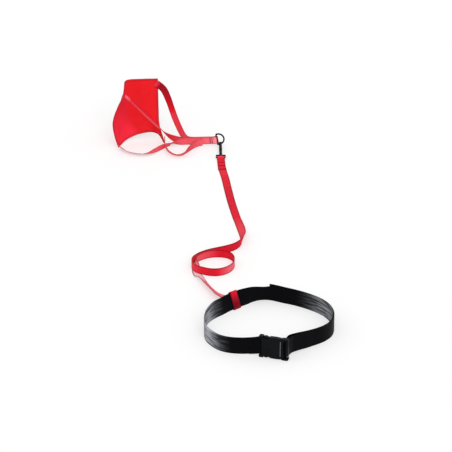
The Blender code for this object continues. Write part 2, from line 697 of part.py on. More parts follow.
def leash_hook_fold(leash, eye_at):
    """The leash's end: folded round the swivel eye's bar and sewn down along itself."""
    fold = Body("leash_fold", eye_at, leash, FOLD_TURN)
    inner = EYE_WIRE + 1.2
    outer = inner + TAPE_THICK
    floor = GAP - eye_at[2]
    top = floor + FOLD_THICK
    outline = arc((0.0, 0.0), outer, 115, -90, 14)
    outline += [(-14.0, floor), (-HOOK_FOLD_LENGTH, floor), (-HOOK_FOLD_LENGTH, top), (-15.0, top)]
    hole = arc((0.0, 0.0), inner, 125, -110, 12)
    hole += [(-8.0, floor + TAPE_THICK + 0.1), (-9.0, floor + TAPE_THICK + 0.6)]
    mesh = turn_mesh(plate_mesh("fold", [outline, hole], TAPE_WIDTH), math.radians(90), "Z")
    add("leash_hook_fold", mesh, fold, "red_webbing")
    fold_tacks("leash_fold_tack", fold, (-29.0, -57.0, -84.0), top)


def leash_belt_loop(leash):
    """The leash's other end: folded round the belt, leaning with it, and sewn to itself outside."""
    loop = Body("belt_loop_axis", BELT_LOOP_AT, leash, (0.0, 0.0, BELT_LOOP_TURN))
    high, clear, tape = BELT_LOOP_HALF, BELT_LOOP_CLEAR, TAPE_THICK
    neck = 14.0
    rise = (BELT_LOOP_REACH - neck) * math.tan(BELT_LOOP_LEAN)
    inside = [(-clear, -high), (-clear, high), (clear, high), (neck, 0.6), (neck, -0.6), (clear, -high)]
    outside = [(-clear - tape, -high - tape + 1.0), (-clear - tape, high + tape - 1.0)]
    outside += [(-clear - 0.6, high + tape), (clear + 0.6, high + tape), (clear + 2.0, high + tape - 1.2)]
    outside += [(neck + 2.5, tape + 0.6), (BELT_LOOP_REACH, rise + tape), (BELT_LOOP_REACH, rise - tape)]
    outside += [(neck + 2.5, -tape + 0.6), (clear + 2.0, -high - tape + 1.2), (clear + 0.6, -high - tape)]
    outside += [(-clear - 0.6, -high - tape)]
    mesh = turn_mesh(plate_mesh("loop", [outside, inside], TAPE_WIDTH), math.radians(90), "Z")
    skew = Matrix.Identity(4)
    skew[0][2] = -math.tan(BELT_LOOP_SKEW)
    mesh.transform(skew)
    add("leash_belt_loop", turn_mesh(mesh, -BELT_LOOP_LEAN, "X"), loop, "red_webbing")
    fold_tacks("leash_belt_tack", loop, (24.0,), tape - BELT_LOOP_DROP + 0.4)


def swivel_eye(eye):
    """The flat eye that the leash is sewn to, with a hub for the hook's pin."""
    wide, deep, rim = EYE_INSIDE[0] / 2, EYE_WIRE + EYE_INSIDE[1], 2 * EYE_WIRE
    outside = rounded_box((-wide - EYE_SIDE, -EYE_WIRE), (wide + EYE_SIDE, deep + rim), 2.6)
    inside = rounded_box((-wide, EYE_WIRE), (wide, deep), 1.0, 3)
    mesh = plate_mesh("eye", [outside, inside], rim, stand=False, smooth=False)
    piece = add("swivel_eye", mesh, eye, "black_plastic")
    round_edges(piece, 1.0)
    boolean(piece, rod_mesh("hub", HUB_RADIUS, 2 * HUB_HALF, "Y", (0, HUB_Y, 0), 20), "UNION")
    boolean(piece, rod_mesh("bore", PIN_RADIUS + GAP, 30.0, "Y", (0, HUB_Y, 0)))


def snap_hook(hook):
    """The hook: a neck that turns on the pin, and a loop with a sprung gate in its top limb."""
    outside = rounded_box((HOOK_LOOP_Y, -HOOK_HALF), (HOOK_END_Y, HOOK_HALF), HOOK_HALF, 6)
    inner_low = (HOOK_LOOP_Y + 5.0, -HOOK_INNER)
    inside = rounded_box(inner_low, (HOOK_END_Y - HOOK_WALL, HOOK_INNER), HOOK_INNER, 5)
    mesh = turn_mesh(plate_mesh("hook", [outside, inside], HOOK_THICK, smooth=False), math.radians(90), "Z")
    piece = add("snap_hook", mesh, hook, "black_plastic")
    round_edges(piece, 0.9)
    low = HOOK_INNER - 1.0
    boolean(piece, box_mesh("gap", (-9.0, GATE_Y + 3.2, low), (9.0, GATE_TIP_Y + GAP, 12.0)))
    cheek = GATE_WIDTH / 2 + GAP
    boolean(piece, box_mesh("fork", (-cheek, GATE_Y - 3.0, low), (cheek, GATE_Y + 4.0, 12.0)))
    pin_bore = rod_mesh("pin_bore", GATE_PIN_RADIUS + GAP, 12.0, "X", (0, GATE_Y, gate_height()))
    boolean(piece, pin_bore)
    neck_length = HOOK_LOOP_Y + 3.0 - HOOK_START_Y
    neck = rod_mesh("neck", HOOK_NECK, neck_length, "Y", (0, HOOK_START_Y + neck_length / 2, 0))
    boolean(piece, neck, "UNION")
    collar = rod_mesh("collar", HUB_RADIUS, 3.0, "Y", (0, HOOK_START_Y + 1.5, 0), 20)
    boolean(piece, collar, "UNION")
    boolean(piece, rod_mesh("bore", PIN_RADIUS + GAP, 2 * PIN_DEPTH, "Y", (0, HOOK_START_Y, 0)))

    head_radius, head_thick = PIN_HEAD
    under = HUB_Y - HUB_HALF - GAP
    head = rod_mesh("head", head_radius, head_thick, "Y", (0, under - head_thick / 2, 0), 20)
    pin = add("swivel_pin", head, hook, "steel")
    end = HOOK_START_Y + PIN_DEPTH - 1.0
    start = under - 0.5
    shaft = rod_mesh("shaft", PIN_RADIUS, end - start, "Y", (0, (end + start) / 2, 0))
    boolean(pin, shaft, "UNION")


def gate_height():
    """Return the height of the gate's pin above the hook's axis."""
    return HOOK_INNER + HOOK_WALL / 2


def hook_gate(hook):
    """The gate on its cross pin; it swings into the hook."""
    gate = Body("gate_axis", hook.at + hook.frame @ Vector((0, GATE_Y, gate_height())), hook, LINE_TURN)
    reach = GATE_TIP_Y - GATE_Y - GAP
    outline = arc((0.0, 0.0), GATE_HALF + 0.3, 90, 270, 8)
    outline += [(reach - 1.2, -GATE_HALF), (reach - 0.2, -0.6), (reach, 1.0), (reach - 1.5, GATE_HALF)]
    mesh = turn_mesh(plate_mesh("gate", [outline], GATE_WIDTH, smooth=False), math.radians(90), "Z")
    piece = add("hook_gate", mesh, gate, "black_plastic")
    boolean(piece, rod_mesh("bore", GATE_PIN_RADIUS + GAP, 9.0, "X"))
    pin = rod_mesh("gate_pin", GATE_PIN_RADIUS, HOOK_THICK - 0.6, "X")
    add("gate_pin", pin, hook, "steel", (0, GATE_Y, gate_height()))


def ring_point(x, z):
    """Return the layout point of a point in the D-ring's own plane."""
    return Vector(RING_AT) + Matrix.Rotation(RING_TILT, 3, "Y") @ Vector((x, 0.0, z))


def d_ring(ring):
    """The D-ring: a straight bar for the tab and a round bow for the hook."""
    inner = RING_BAR_HALF - RING_CORNER
    outline = arc((RING_STRAIGHT, 0.0), RING_BAR_HALF, -90, 90, 16)
    outline += arc((RING_CORNER, inner), RING_CORNER, 90, 180, 4)
    outline += arc((RING_CORNER, -inner), RING_CORNER, 180, 270, 4)
    curve = bpy.data.curves.new("d_ring", "CURVE")
    curve.dimensions = "3D"
    curve.bevel_depth = RING_WIRE * MM
    curve.bevel_resolution = 2
    spline = curve.splines.new("POLY")
    spline.points.add(len(outline) - 1)
    spline.use_cyclic_u = True
    for point, (x, z) in zip(spline.points, outline):
        point.co = (*ring.local(ring_point(x, z)), 1.0)
    add("d_ring", curve, ring, "black_plastic")


def chute_tab(chute):
    """The tab: the straps' ends and the ring's fold, sewn into one flat stack on edge."""
    run = Vector(RING_AT) - Vector(TAB_START)
    full = run.xy.length
    half, loop = TAB_THICK / 2, TAB_LOOP_HALF
    inner = loop - TAPE_THICK
    outline = [(0.0, -half), (full - 12.0, -half), (full - 6.5, -loop), *arc((full, 0.0), loop, -90, 90, 10)]
    outline += [(full - 6.5, loop), (full - 12.0, half), (0.0, half)]
    hole = arc((full, 0.0), inner, -90, 90, 8)
    hole += [(full - 6.5, inner), (full - 11.0, 0.6), (full - 11.0, -0.6), (full - 6.5, -inner)]
    mesh = plate_mesh("tab", [outline, hole], TAPE_WIDTH, stand=False)
    rise = (run.z - TAB_BELOW_RING) / full
    for vertex in mesh.vertices:
        near_ring = min(max((vertex.co.x / MM - full + 22.0) / 15.0, 0.0), 1.0)
        vertex.co.x += vertex.co.z * math.tan(RING_TILT) * near_ring
        vertex.co.z += vertex.co.x * rise
    tab = Body("tab_frame", TAB_START, chute, (0.0, 0.0, math.atan2(run.y, run.x)))
    add("chute_tab", mesh, tab, "red_webbing")
    for number, x in enumerate((full - 21.0, full - 14.5), start=1):
        low, high = (x - 0.9, -half - 1.0, -10.5), (x + 0.9, -half - GAP, 10.5)
        tack = add(f"tab_tack_{number}", box_mesh("tack", low, high), tab, "red_thread", (0, 0, rise * x))
        round_edges(tack, 0.25, 1)


def chute_sheet(chute):
    """The drag sheet, a square of nylon that its straps pull into a pocket."""
    grid = bmesh.new()
    bmesh.ops.create_grid(grid, x_segments=CHUTE_CELLS, y_segments=CHUTE_CELLS, size=0.5)
    for vertex in grid.verts:
        vertex.co = chute.local(chute_point(vertex.co.x + 0.5, vertex.co.y + 0.5))
    sheet = add("chute_sheet", mesh_from("chute_sheet", grid, smooth=True), chute, "red_nylon")
    shell = sheet.modifiers.new("thickness", "SOLIDIFY")
    shell.thickness = CHUTE_THICK * MM
    shell.offset = 0.0


def chute_straps(chute):
    """The four straps, each sewn inside a corner of the sheet and led to the tab."""
    for name, points in (
        ("strap_top_back", STRAP_TOP_BACK),
        ("strap_top_front", STRAP_TOP_FRONT),
        ("strap_bottom_front", STRAP_BOTTOM_FRONT),
        ("strap_bottom_back", STRAP_BOTTOM_BACK),
    ):
        route = even_steps(smooth_route(points), TAPE_STEP)
        ribbon(name, chute, route, TAPE_WIDTH, TAPE_THICK, "red_webbing")


def main():
    """Build the belt, the leash, the hook and the chute."""
    belt = Body("belt", (*LAYOUT_CENTRE, 0.0))
    belt_webbing(belt)
    middle = (*BUCKLE_AT, BUCKLE_HEIGHT / 2)
    buckle_socket(Body("socket_frame", middle, belt, (0.0, 0.0, BUCKLE_TURN)))
    plug = Body("plug_axis", middle, belt, (0.0, 0.0, BUCKLE_TURN))
    buckle_plug(plug)
    for side in ("upper", "lower"):
        buckle_arm(side, plug)

    leash = Body("leash", (*BELT_LOOP_AT[:2], 0.0), belt)
    bow = (RING_STRAIGHT + RING_BAR_HALF * math.cos(RING_HELD), RING_BAR_HALF * math.sin(RING_HELD))
    held = ring_point(*bow)
    along, above = WIRE_IN_HOOK
    hook_frame = Matrix.Rotation(LINE_TURN[2], 3, "Z") @ Matrix.Rotation(LINE_TURN[0], 3, "X")
    eye_at = held - hook_frame @ Vector((0.0, along, above))
    leash_webbing(leash)
    leash_belt_loop(leash)
    leash_hook_fold(leash, eye_at)
    eye = Body("eye_axis", eye_at, leash, LINE_TURN)
    swivel_eye(eye)
    hook = Body("hook_axis", eye_at, eye, LINE_TURN)
    snap_hook(hook)
    hook_gate(hook)
    ring = Body("ring_axis", held, hook)
    d_ring(ring)
    chute = Body("chute_axis", RING_AT, ring)
    chute_tab(chute)
    chute_sheet(chute)
    chute_straps(chute)
    for name, point in (("eye", eye_at), ("ring", held)):
        print(name, "at", [round(value, 2) for value in point])


main()
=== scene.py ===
import math

import bmesh
import bpy
import numpy as np
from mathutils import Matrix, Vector

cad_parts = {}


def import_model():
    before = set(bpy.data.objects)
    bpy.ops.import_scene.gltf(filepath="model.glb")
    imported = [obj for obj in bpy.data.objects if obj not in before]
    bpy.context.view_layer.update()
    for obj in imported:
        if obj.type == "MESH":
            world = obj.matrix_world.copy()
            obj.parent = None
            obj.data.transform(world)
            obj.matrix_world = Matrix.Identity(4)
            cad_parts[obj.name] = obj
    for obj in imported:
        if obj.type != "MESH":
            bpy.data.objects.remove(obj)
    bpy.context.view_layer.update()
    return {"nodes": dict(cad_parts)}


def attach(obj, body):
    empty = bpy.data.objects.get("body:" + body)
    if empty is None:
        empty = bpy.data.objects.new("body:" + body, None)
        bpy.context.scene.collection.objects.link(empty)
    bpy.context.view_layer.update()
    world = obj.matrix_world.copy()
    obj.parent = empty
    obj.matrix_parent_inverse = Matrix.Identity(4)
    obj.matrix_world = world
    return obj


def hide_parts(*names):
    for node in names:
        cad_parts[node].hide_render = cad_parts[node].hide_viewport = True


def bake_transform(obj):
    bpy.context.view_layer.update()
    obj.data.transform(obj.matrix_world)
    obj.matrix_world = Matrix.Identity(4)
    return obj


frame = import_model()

# The layout is in millimetres; its point CENTRE is the frame's origin
MM = 0.001
CENTRE = np.array([-31.5, -81.6, 0.0])
NODES = frame["nodes"]

# Red tape and black belt webbing, in millimetres
TAPE_WIDTH, TAPE_THICK = 25.0, 1.6
BELT_WIDTH, BELT_THICK = 50.0, 1.6
SCENE = bpy.context.scene


def add(name, data):
    """Add an object with its data to the scene."""
    made = bpy.data.objects.new(name, data)
    SCENE.collection.objects.link(made)
    return made


# Camera: it looks at the layout's zero point, from a reach in metres; a tangent of 1 is so many pixels
CAMERA_REACH = 8.0
CAMERA_PITCH = math.radians(25.0)
PIXELS_PER_TANGENT = 2640.0
IMAGE_PIXELS = 452
SENSOR_WIDTH = 36.0
FARTHEST_SEEN = 50.0


def make_camera():
    """Put the camera at the photograph's angle."""
    data = bpy.data.cameras.new("camera")
    data.sensor_width = SENSOR_WIDTH
    data.lens = PIXELS_PER_TANGENT / IMAGE_PIXELS * SENSOR_WIDTH
    data.clip_end = FARTHEST_SEEN
    camera = add("camera", data)
    back = CAMERA_REACH * math.cos(CAMERA_PITCH)
    up = CAMERA_REACH * math.sin(CAMERA_PITCH)
    camera.location = Vector((0.0, -back, up)) - Vector(CENTRE) * MM
    camera.rotation_euler = (math.pi / 2 - CAMERA_PITCH, 0.0, 0.0)
    SCENE.camera = camera


# Routes: rows of x, y, z and often the webbing's lean in degrees, 0 for upright and 90 for flat
CURVE_STEPS = 16
TINY, NO_LENGTH = 1e-6, 1e-12
ROUTE_STEP, FINE_STEP = 3.0, 1.5


def lengths_along(route):
    """Return the distance of each point along a route."""
    return np.concatenate([[0.0], np.cumsum(np.linalg.norm(np.diff(route[:, :3], axis=0), axis=1))])


def even_steps(route, step=ROUTE_STEP, start=0.0, end=None):
    """Take a route, or a plan's line, again at even steps, between two distances along it."""
    along = lengths_along(route)
    end = along[-1] if end is None else end
    wanted = np.linspace(start, end, max(2, round((end - start) / step) + 1))
    return np.column_stack([np.interp(wanted, along, column) for column in route.T])


def smooth_route(points, step=2.0):
    """Run a centripetal Catmull-Rom curve through points and take it at even steps."""
    p = np.array(points, float)
    p = np.vstack([2 * p[0] - p[1], p, 2 * p[-1] - p[-2]])
    fine = []
    for i in range(1, len(p) - 2):
        knots = [0.0]
        for a, b in zip(p[i - 1 : i + 2], p[i : i + 3]):
            knots.append(knots[-1] + max(np.linalg.norm(b[:3] - a[:3]), TINY) ** 0.5)
        t0, t1, t2, t3 = knots
        for t in np.linspace(t1, t2, CURVE_STEPS, endpoint=False):
            a1 = ((t1 - t) * p[i - 1] + (t - t0) * p[i]) / (t1 - t0)
            a2 = ((t2 - t) * p[i] + (t - t1) * p[i + 1]) / (t2 - t1)
            a3 = ((t3 - t) * p[i + 1] + (t - t2) * p[i + 2]) / (t3 - t2)
            b1 = ((t2 - t) * a1 + (t - t0) * a2) / (t2 - t0)
            b2 = ((t3 - t) * a2 + (t - t1) * a3) / (t3 - t1)
            fine.append(((t2 - t) * b1 + (t - t1) * b2) / (t2 - t1))
    fine.append(p[-2])
    return even_steps(np.array(fine), step)


def laid(points, width, thickness):
    """Turn (x, y, lift, lean) points, whose lift is the lower edge's height, into centres."""
    centres = np.array(points, float)
    lean = np.radians(centres[:, 3])
    centres[:, 2] += abs(np.cos(lean)) * width / 2 + abs(np.sin(lean)) * thickness / 2
    return centres


def arc(centre, radius, start, end, steps):
    """Return points of an arc, its angles in degrees."""
    angles = np.radians(np.linspace(start, end, steps + 1))
    return [(centre[0] + radius * math.cos(a), centre[1] + radius * math.sin(a)) for a in angles]


def turned(x, y, angle):
    """Turn a point of a plan round the plan's zero point."""
    c, s = math.cos(angle), math.sin(angle)
    return c * x - s * y, s * x + c * y


def unit(rows):
    """Scale vectors to length one."""
    return rows / np.maximum(np.linalg.norm(rows, axis=-1, keepdims=True), NO_LENGTH)


def across(route):
    """Return the webbing's width direction at each (x, y, z, lean) of a route."""
    ahead = unit(np.gradient(route[:, :3], axis=0))
    up = unit(np.array([0.0, 0.0, 1.0]) - ahead * ahead[:, 2:3])
    side = np.cross(ahead, up)
    lean = np.radians(route[:, 3:4])
    return np.cos(lean) * up + np.sin(lean) * side


# Materials
def linear(colour):
    """Turn an sRGB colour, 0 to 255, into the linear one that shaders take, by sRGB's own formula."""
    parts = [value / 255 for value in colour]
    return (*[c / 12.92 if c <= 0.04045 else ((c + 0.055) / 1.055) ** 2.4 for c in parts], 1.0)


class Shader:
    """A material being built, with short calls for its nodes."""

    def __init__(self, name):
        self.material = bpy.data.materials.new(name)
        self.material.use_nodes = True
        self.tree = self.material.node_tree
        self.bsdf = self.tree.nodes["Principled BSDF"]

    def feed(self, socket, value):
        """Link another node's output to a socket, or set a plain value on it."""
        if isinstance(value, bpy.types.NodeSocket):
            self.tree.links.new(value, socket)
        else:
            socket.default_value = value

    def node(self, kind, out=0, settings=(), **inputs):
        """Make a node and return one output; an input is named, or i and its number."""
        made = self.tree.nodes.new(f"ShaderNode{kind}")
        for key, value in dict(settings).items():
            setattr(made, key, value)
        for key, value in inputs.items():
            numbered = key[0] == "i" and key[1:].isdigit()
            self.feed(made.inputs[int(key[1:]) if numbered else key.replace("_", " ")], value)
        return made.outputs[out]

    def math(self, operation, a, b=0.0, c=0.0):
        """Work out one sum of up to three values."""
        return self.node("Math", 0, {"operation": operation}, i0=a, i1=b, i2=c)

    def wave(self, value, period):
        """A cosine ridge from 0 to 1, one for each period."""
        phase = self.math("MULTIPLY", value, 2 * math.pi / period)
        return self.math("MULTIPLY_ADD", self.math("COSINE", phase), 0.5, 0.5)

    def noise(self, scale, detail=2.0, where=None):
        """Noise from about 0.3 to 0.7, in the object's metres unless a place is given."""
        where = self.node("TexCoord", 3) if where is None else where
        return self.node("TexNoise", 0, Vector=where, Scale=scale, Detail=detail)

    def mix(self, share, a, b):
        """Go from colour a to colour b by a share from 0 to 1."""
        return self.node("Mix", 2, {"data_type": "RGBA"}, i0=share, i6=a, i7=b)

    def ramp(self, value, low, high, to_low=0.0, to_high=1.0):
        """Rise smoothly from one number to another while a value goes from low to high."""
        smooth = {"interpolation_type": "SMOOTHSTEP"}
        return self.node("MapRange", 0, smooth, i0=value, i1=low, i2=high, i3=to_low, i4=to_high)

    def line(self, value, low, high):
        """Rise evenly from 0 to 1 while a value goes from low to high."""
        return self.node("MapRange", 0, i0=value, i1=low, i2=high)

    def strip(self):
        """The piece's own coordinates: millimetres along and across, and its tint, which mostly carries
        painted light and shade.
        """
        vector = self.node("Attribute", 1, {"attribute_name": "weave"})
        split = self.tree.nodes.new("ShaderNodeSeparateXYZ")
        self.tree.links.new(vector, split.inputs[0])
        return split.outputs

    def weave(self, u, v, rib, pick, depth):
        """Ribs along the webbing with picks across them, set off by half a turn from rib to rib."""
        ribs = self.wave(v, rib)
        odd = self.math("MULTIPLY", self.math("FLOOR", self.math("DIVIDE", v, rib)), math.pi)
        phase = self.math("ADD", self.math("MULTIPLY", u, 2 * math.pi / pick), odd)
        picks = self.math("MULTIPLY_ADD", self.math("COSINE", phase), 0.5, 0.5)
        shown = self.math("MULTIPLY_ADD", picks, depth, 1.0 - depth)
        return self.math("MULTIPLY", self.math("SUBTRACT", 1.0, ribs), shown)

    def bump(self, height, depth, strength=1.0):
        """Stand the surface up by a height, whose 1 is a depth in metres."""
        normal = self.node("Bump", 0, Height=height, Distance=depth, Strength=strength)
        self.tree.links.new(normal, self.bsdf.inputs["Normal"])

    def set(self, **inputs):
        """Set the surface's own sockets and return the material."""
        for key, value in inputs.items():
            self.feed(self.bsdf.inputs[key.replace("_", " ")], value)
        return self.material


# The noise scale of fuzz is per metre; the weave's periods and the sheet's distances are in millimetres
FUZZ_SCALE = 900.0
TAPE_RIB, BELT_RIB, RIBS_PER_PICK = 1.25, 1.6, 1.5
NYLON_THREAD, RIPSTOP_CELL, THREAD_TWIST = 0.7, 6.0, 0.9
SELVEDGE_INTO = (4.4, 1.2)
SHEET_MIDDLE = 101.5
HEM_DARK_FROM_MIDDLE, FOLD_FROM_MIDDLE = (99.0, 101.2), (92.6, 93.4)


def webbing_material(name, edge):
    """Red woven tape: ribs crossed by picks, selvedges darkened by the edge's share, a little random
    cloudiness, and the tint's painted light and shade.
    """
    s = Shader(name)
    u, v, tint = s.strip()
    base, dark = linear((252, 27, 52)), linear((118, 4, 24))
    rose, pale = linear((255, 118, 132)), linear((255, 220, 226))
    weave = s.weave(u, v, TAPE_RIB, TAPE_RIB * RIBS_PER_PICK, 0.55)
    selvedge = s.ramp(s.math("ABSOLUTE", v), *[TAPE_WIDTH / 2 - into for into in SELVEDGE_INTO])
    cloud = s.noise(26.0, 3.0)
    fuzz = s.noise(FUZZ_SCALE)
    body = s.mix(s.math("MULTIPLY_ADD", weave, 0.26, 0.74), dark, base)
    body = s.mix(s.ramp(cloud, 0.35, 0.75, 0.0, 0.14), body, dark)
    body = s.mix(s.ramp(fuzz, 0.62, 0.8, 0.0, 0.08), body, rose)
    # Painted light and shade from the tint: rose, then pale, as painted highlights; dark as painted shade.
    body = s.mix(s.line(tint, 0.0, 0.5), body, rose)
    body = s.mix(s.line(tint, 0.5, 1.0), body, pale)
    body = s.mix(s.line(tint, 0.0, -1.0), body, dark)
    body = s.mix(s.math("MULTIPLY", selvedge, edge), body, dark)
    grain = s.math("ADD", weave, s.math("MULTIPLY", fuzz, 0.35))
    s.bump(s.math("ADD", grain, s.math("MULTIPLY", selvedge, 0.8)), 0.00022, 0.7)
    return s.set(Base_Color=body, Roughness=s.ramp(fuzz, 0.3, 0.7, 0.6, 0.76), Specular_IOR_Level=0.1,
                 Sheen_Weight=0.02, Sheen_Roughness=0.45)


def belt_material(name):
    """The belt's black webbing, with grey streaks painted into its colour where it bends: a painted sheen,
    placed by the tint.
    """
    s = Shader(name)
    u, v, tint = s.strip()
    weave = s.weave(u, v, BELT_RIB, BELT_RIB * RIBS_PER_PICK, 0.5)
    drawn = s.node("CombineXYZ", 0, i0=s.math("MULTIPLY", u, 0.016), i1=s.math("MULTIPLY", v, 0.2))
    # Painted sheen: streaks drawn out along the belt, mixed to grey where the tint is high.
    painted_streaks = s.ramp(s.noise(1.0, 4.0, drawn), 0.36, 0.66, 0.12, 1.0)
    fuzz = s.noise(FUZZ_SCALE)
    black, lit, grey = linear((4, 4, 6)), linear((18, 19, 23)), linear((196, 198, 206))
    body = s.mix(s.math("MULTIPLY", weave, 0.5), black, lit)
    body = s.mix(s.ramp(fuzz, 0.6, 0.8, 0.0, 0.25), body, lit)
    body = s.mix(s.math("MULTIPLY", painted_streaks, s.ramp(tint, 0.0, 1.0)), body, grey)
    s.bump(s.math("ADD", weave, s.math("MULTIPLY", fuzz, 0.35)), 0.00025, 0.6)
    return s.set(Base_Color=body, Roughness=s.ramp(fuzz, 0.3, 0.7, 0.42, 0.6), Specular_IOR_Level=0.03,
                 Sheen_Weight=0.01, Sheen_Roughness=0.4)


def nylon_material(name):
    """The sheet's coated nylon: a fine plain weave with a ripstop grid, darker at its sewn hem, and paler
    rose towards its front flap as painted light.
    """
    s = Shader(name)
    u, v, tint = s.strip()
    threads_shown = s.math("MULTIPLY", s.wave(u, NYLON_THREAD), s.wave(v, NYLON_THREAD))
    ripstop = s.math("MAXIMUM", *[s.ramp(s.wave(along, RIPSTOP_CELL), 0.93, 1.0) for along in (u, v)])
    from_middle = [s.math("ABSOLUTE", s.math("SUBTRACT", along, SHEET_MIDDLE)) for along in (u, v)]
    far = s.math("MAXIMUM", *from_middle)
    hem = s.ramp(far, *HEM_DARK_FROM_MIDDLE)
    fold = s.ramp(far, *FOLD_FROM_MIDDLE)
    cloud = s.noise(14.0, 3.0)
    red, rose = linear((240, 27, 37)), linear((246, 44, 66))
    deep, pale = linear((128, 8, 28)), linear((255, 176, 186))
    # Painted light: the front part of the sheet turns from red to a paler rose, where the flap is lit.
    body = s.mix(s.ramp(u, 92.0, 128.0), red, rose)
    body = s.mix(s.math("MULTIPLY", threads_shown, 0.10), body, deep)
    body = s.mix(s.math("MULTIPLY", ripstop, 0.10), body, deep)
    body = s.mix(s.ramp(cloud, 0.4, 0.8, 0.0, 0.14), body, deep)
    body = s.mix(s.math("MULTIPLY", fold, 0.12), body, deep)
    body = s.mix(s.math("MULTIPLY", hem, 0.75), body, deep)
    body = s.mix(s.ramp(tint, 0.0, 1.0), body, pale)
    body = s.mix(s.ramp(tint, 0.0, -1.0), body, deep)
    coarse = s.math("ADD", ripstop, s.math("MULTIPLY", cloud, 2.0))
    s.bump(s.math("ADD", s.math("MULTIPLY", threads_shown, 0.4), coarse), 0.00015, 0.5)
    return s.set(Base_Color=body, Roughness=s.ramp(cloud, 0.3, 0.7, 0.5, 0.62), Specular_IOR_Level=0.12,
                 Sheen_Weight=0.03, Sheen_Roughness=0.4)


def thread_material(name, colour, light):
    """Twisted sewing thread, lighter on its plies."""
    s = Shader(name)
    ply = s.wave(s.strip()[0], THREAD_TWIST)
    body = s.mix(s.math("MULTIPLY", ply, 0.6), linear(colour), linear(light))
    body = s.mix(s.ramp(s.noise(600.0), 0.55, 0.75, 0.0, 0.4), body, linear(light))
    s.bump(ply, 0.00012)
    return s.set(Base_Color=body, Roughness=0.7, Specular_IOR_Level=0.1, Sheen_Weight=0.02)


def plastic_material(name, colour, roughness, specular):
    """Moulded plastic: a fine spark texture, faint flow marks, and corners painted paler in patches as a
    highlight.
    """
    s = Shader(name)
    spark = s.noise(1500.0)
    flow = s.noise(45.0, 4.0)
    pointiness = s.node("NewGeometry", 7)
    # Painted highlight: sharp corners and edges turn paler grey, in patches.
    painted_highlight = s.math("MULTIPLY", s.ramp(pointiness, 0.56, 0.64), s.ramp(flow, 0.42, 0.65))
    body = s.mix(s.ramp(flow, 0.3, 0.75, 0.0, 0.5), linear(colour), linear([c + 8 for c in colour]))
    body = s.mix(s.math("MULTIPLY", painted_highlight, 0.3), body, linear((84, 85, 88)))
    s.bump(s.math("ADD", spark, s.math("MULTIPLY", flow, 0.6)), 0.00006, 0.5)
    rough = s.ramp(flow, 0.3, 0.7, roughness - 0.05, roughness + 0.09)
    return s.set(Base_Color=body, Roughness=rough, Specular_IOR_Level=specular)


def steel_material(name):
    """A drawn steel pin with fine turning marks and a faint stain."""
    s = Shader(name)
    marks = s.noise(700.0, 3.0)
    stain = s.noise(60.0, 3.0)
    body = s.mix(s.ramp(stain, 0.45, 0.75, 0.0, 0.6), linear((178, 180, 184)), linear((120, 118, 116)))
    s.bump(marks, 0.00004, 0.5)
    return s.set(Base_Color=body, Metallic=1.0, Roughness=s.ramp(marks, 0.3, 0.7, 0.24, 0.42))


# Meshes
SHARP_ANGLE = math.radians(50.0)
STEEP = 0.9


def world(points):
    """Turn layout millimetres into the frame's metres."""
    return (np.asarray(points, float) - CENTRE) * MM


def mesh_piece(name, verts, faces, weave, material):
    """Make an object from points in layout millimetres, with its weave coordinates."""
    mesh = bpy.data.meshes.new(name)
    mesh.from_pydata([tuple(p) for p in world(verts)], [], faces)
    mesh.attributes.new("weave", "FLOAT_VECTOR", "POINT").data.foreach_set(
        "vector", np.asarray(weave, np.float32).ravel()
    )
    grid = bmesh.new()
    grid.from_mesh(mesh)
    bmesh.ops.recalc_face_normals(grid, faces=grid.faces)
    grid.to_mesh(mesh)
    grid.free()
    mesh.materials.append(material)
    mesh.shade_smooth()
    mesh.set_sharp_from_angle(angle=SHARP_ANGLE)
    return add(name, mesh)


# Half of a webbing's upper face: a place across it, whose edge is -1, and its share of the thickness there
HALF_SECTION = [(-1.0, 0.42), (-0.99, 0.78), (-0.965, 1.0), (-0.92, 0.94), (-0.6, 0.96), (-0.2, 1.0)]
TOP_FACE = HALF_SECTION + [(-a, b) for a, b in reversed(HALF_SECTION)]
SECTION = TOP_FACE + [(a, -b) for a, b in reversed(TOP_FACE)]


def rings(rows, count, closed=False):
    """Return the faces between rings of points, row after row, and back to the first if closed."""
    faces = []
    for i in range(rows if closed else rows - 1):
        for j in range(count):
            near, far = i * count, (i + 1) % rows * count
            k = (j + 1) % count
            faces.append((near + j, near + k, far + k, far + j))
    return faces


def webbing(name, centres, sides, width, thick, material, tint=0.0, slant=0.0):
    """Sweep a webbing's section along centres; sides are its width directions.

    A tint from 0 to 1 is paler and one below 0 darker, mostly as painted highlight and painted shade; the
    slant is what it gains from edge to edge, a painted light on one edge and painted shade on the other.
    Both are one number, or shares of the length with a value at each.
    """
    centres, sides = np.asarray(centres, float)[:, :3], unit(np.asarray(sides, float))
    ahead = unit(np.gradient(centres, axis=0))
    sides = unit(sides - ahead * np.sum(sides * ahead, axis=1)[:, None])
    normal = np.cross(ahead, sides)
    along = lengths_along(centres)
    share = along / along[-1]
    tints, slants = (np.interp(share, *value) if isinstance(value, tuple) else np.full(len(along), value)
                     for value in (tint, slant))
    verts, weave = [], []
    for i, centre in enumerate(centres):
        for a, b in SECTION:
            verts.append(centre + sides[i] * a * width / 2 + normal[i] * b * thick / 2)
            weave.append((along[i], a * width / 2, tints[i] + slants[i] * a / 2))
    count = len(SECTION)
    faces = rings(len(centres), count)
    for first in (0, (len(centres) - 1) * count):
        for j in range(count // 2 - 1):
            faces.append((first + j, first + j + 1, first + count - 2 - j, first + count - 1 - j))
    return mesh_piece(name, verts, faces, weave, material)


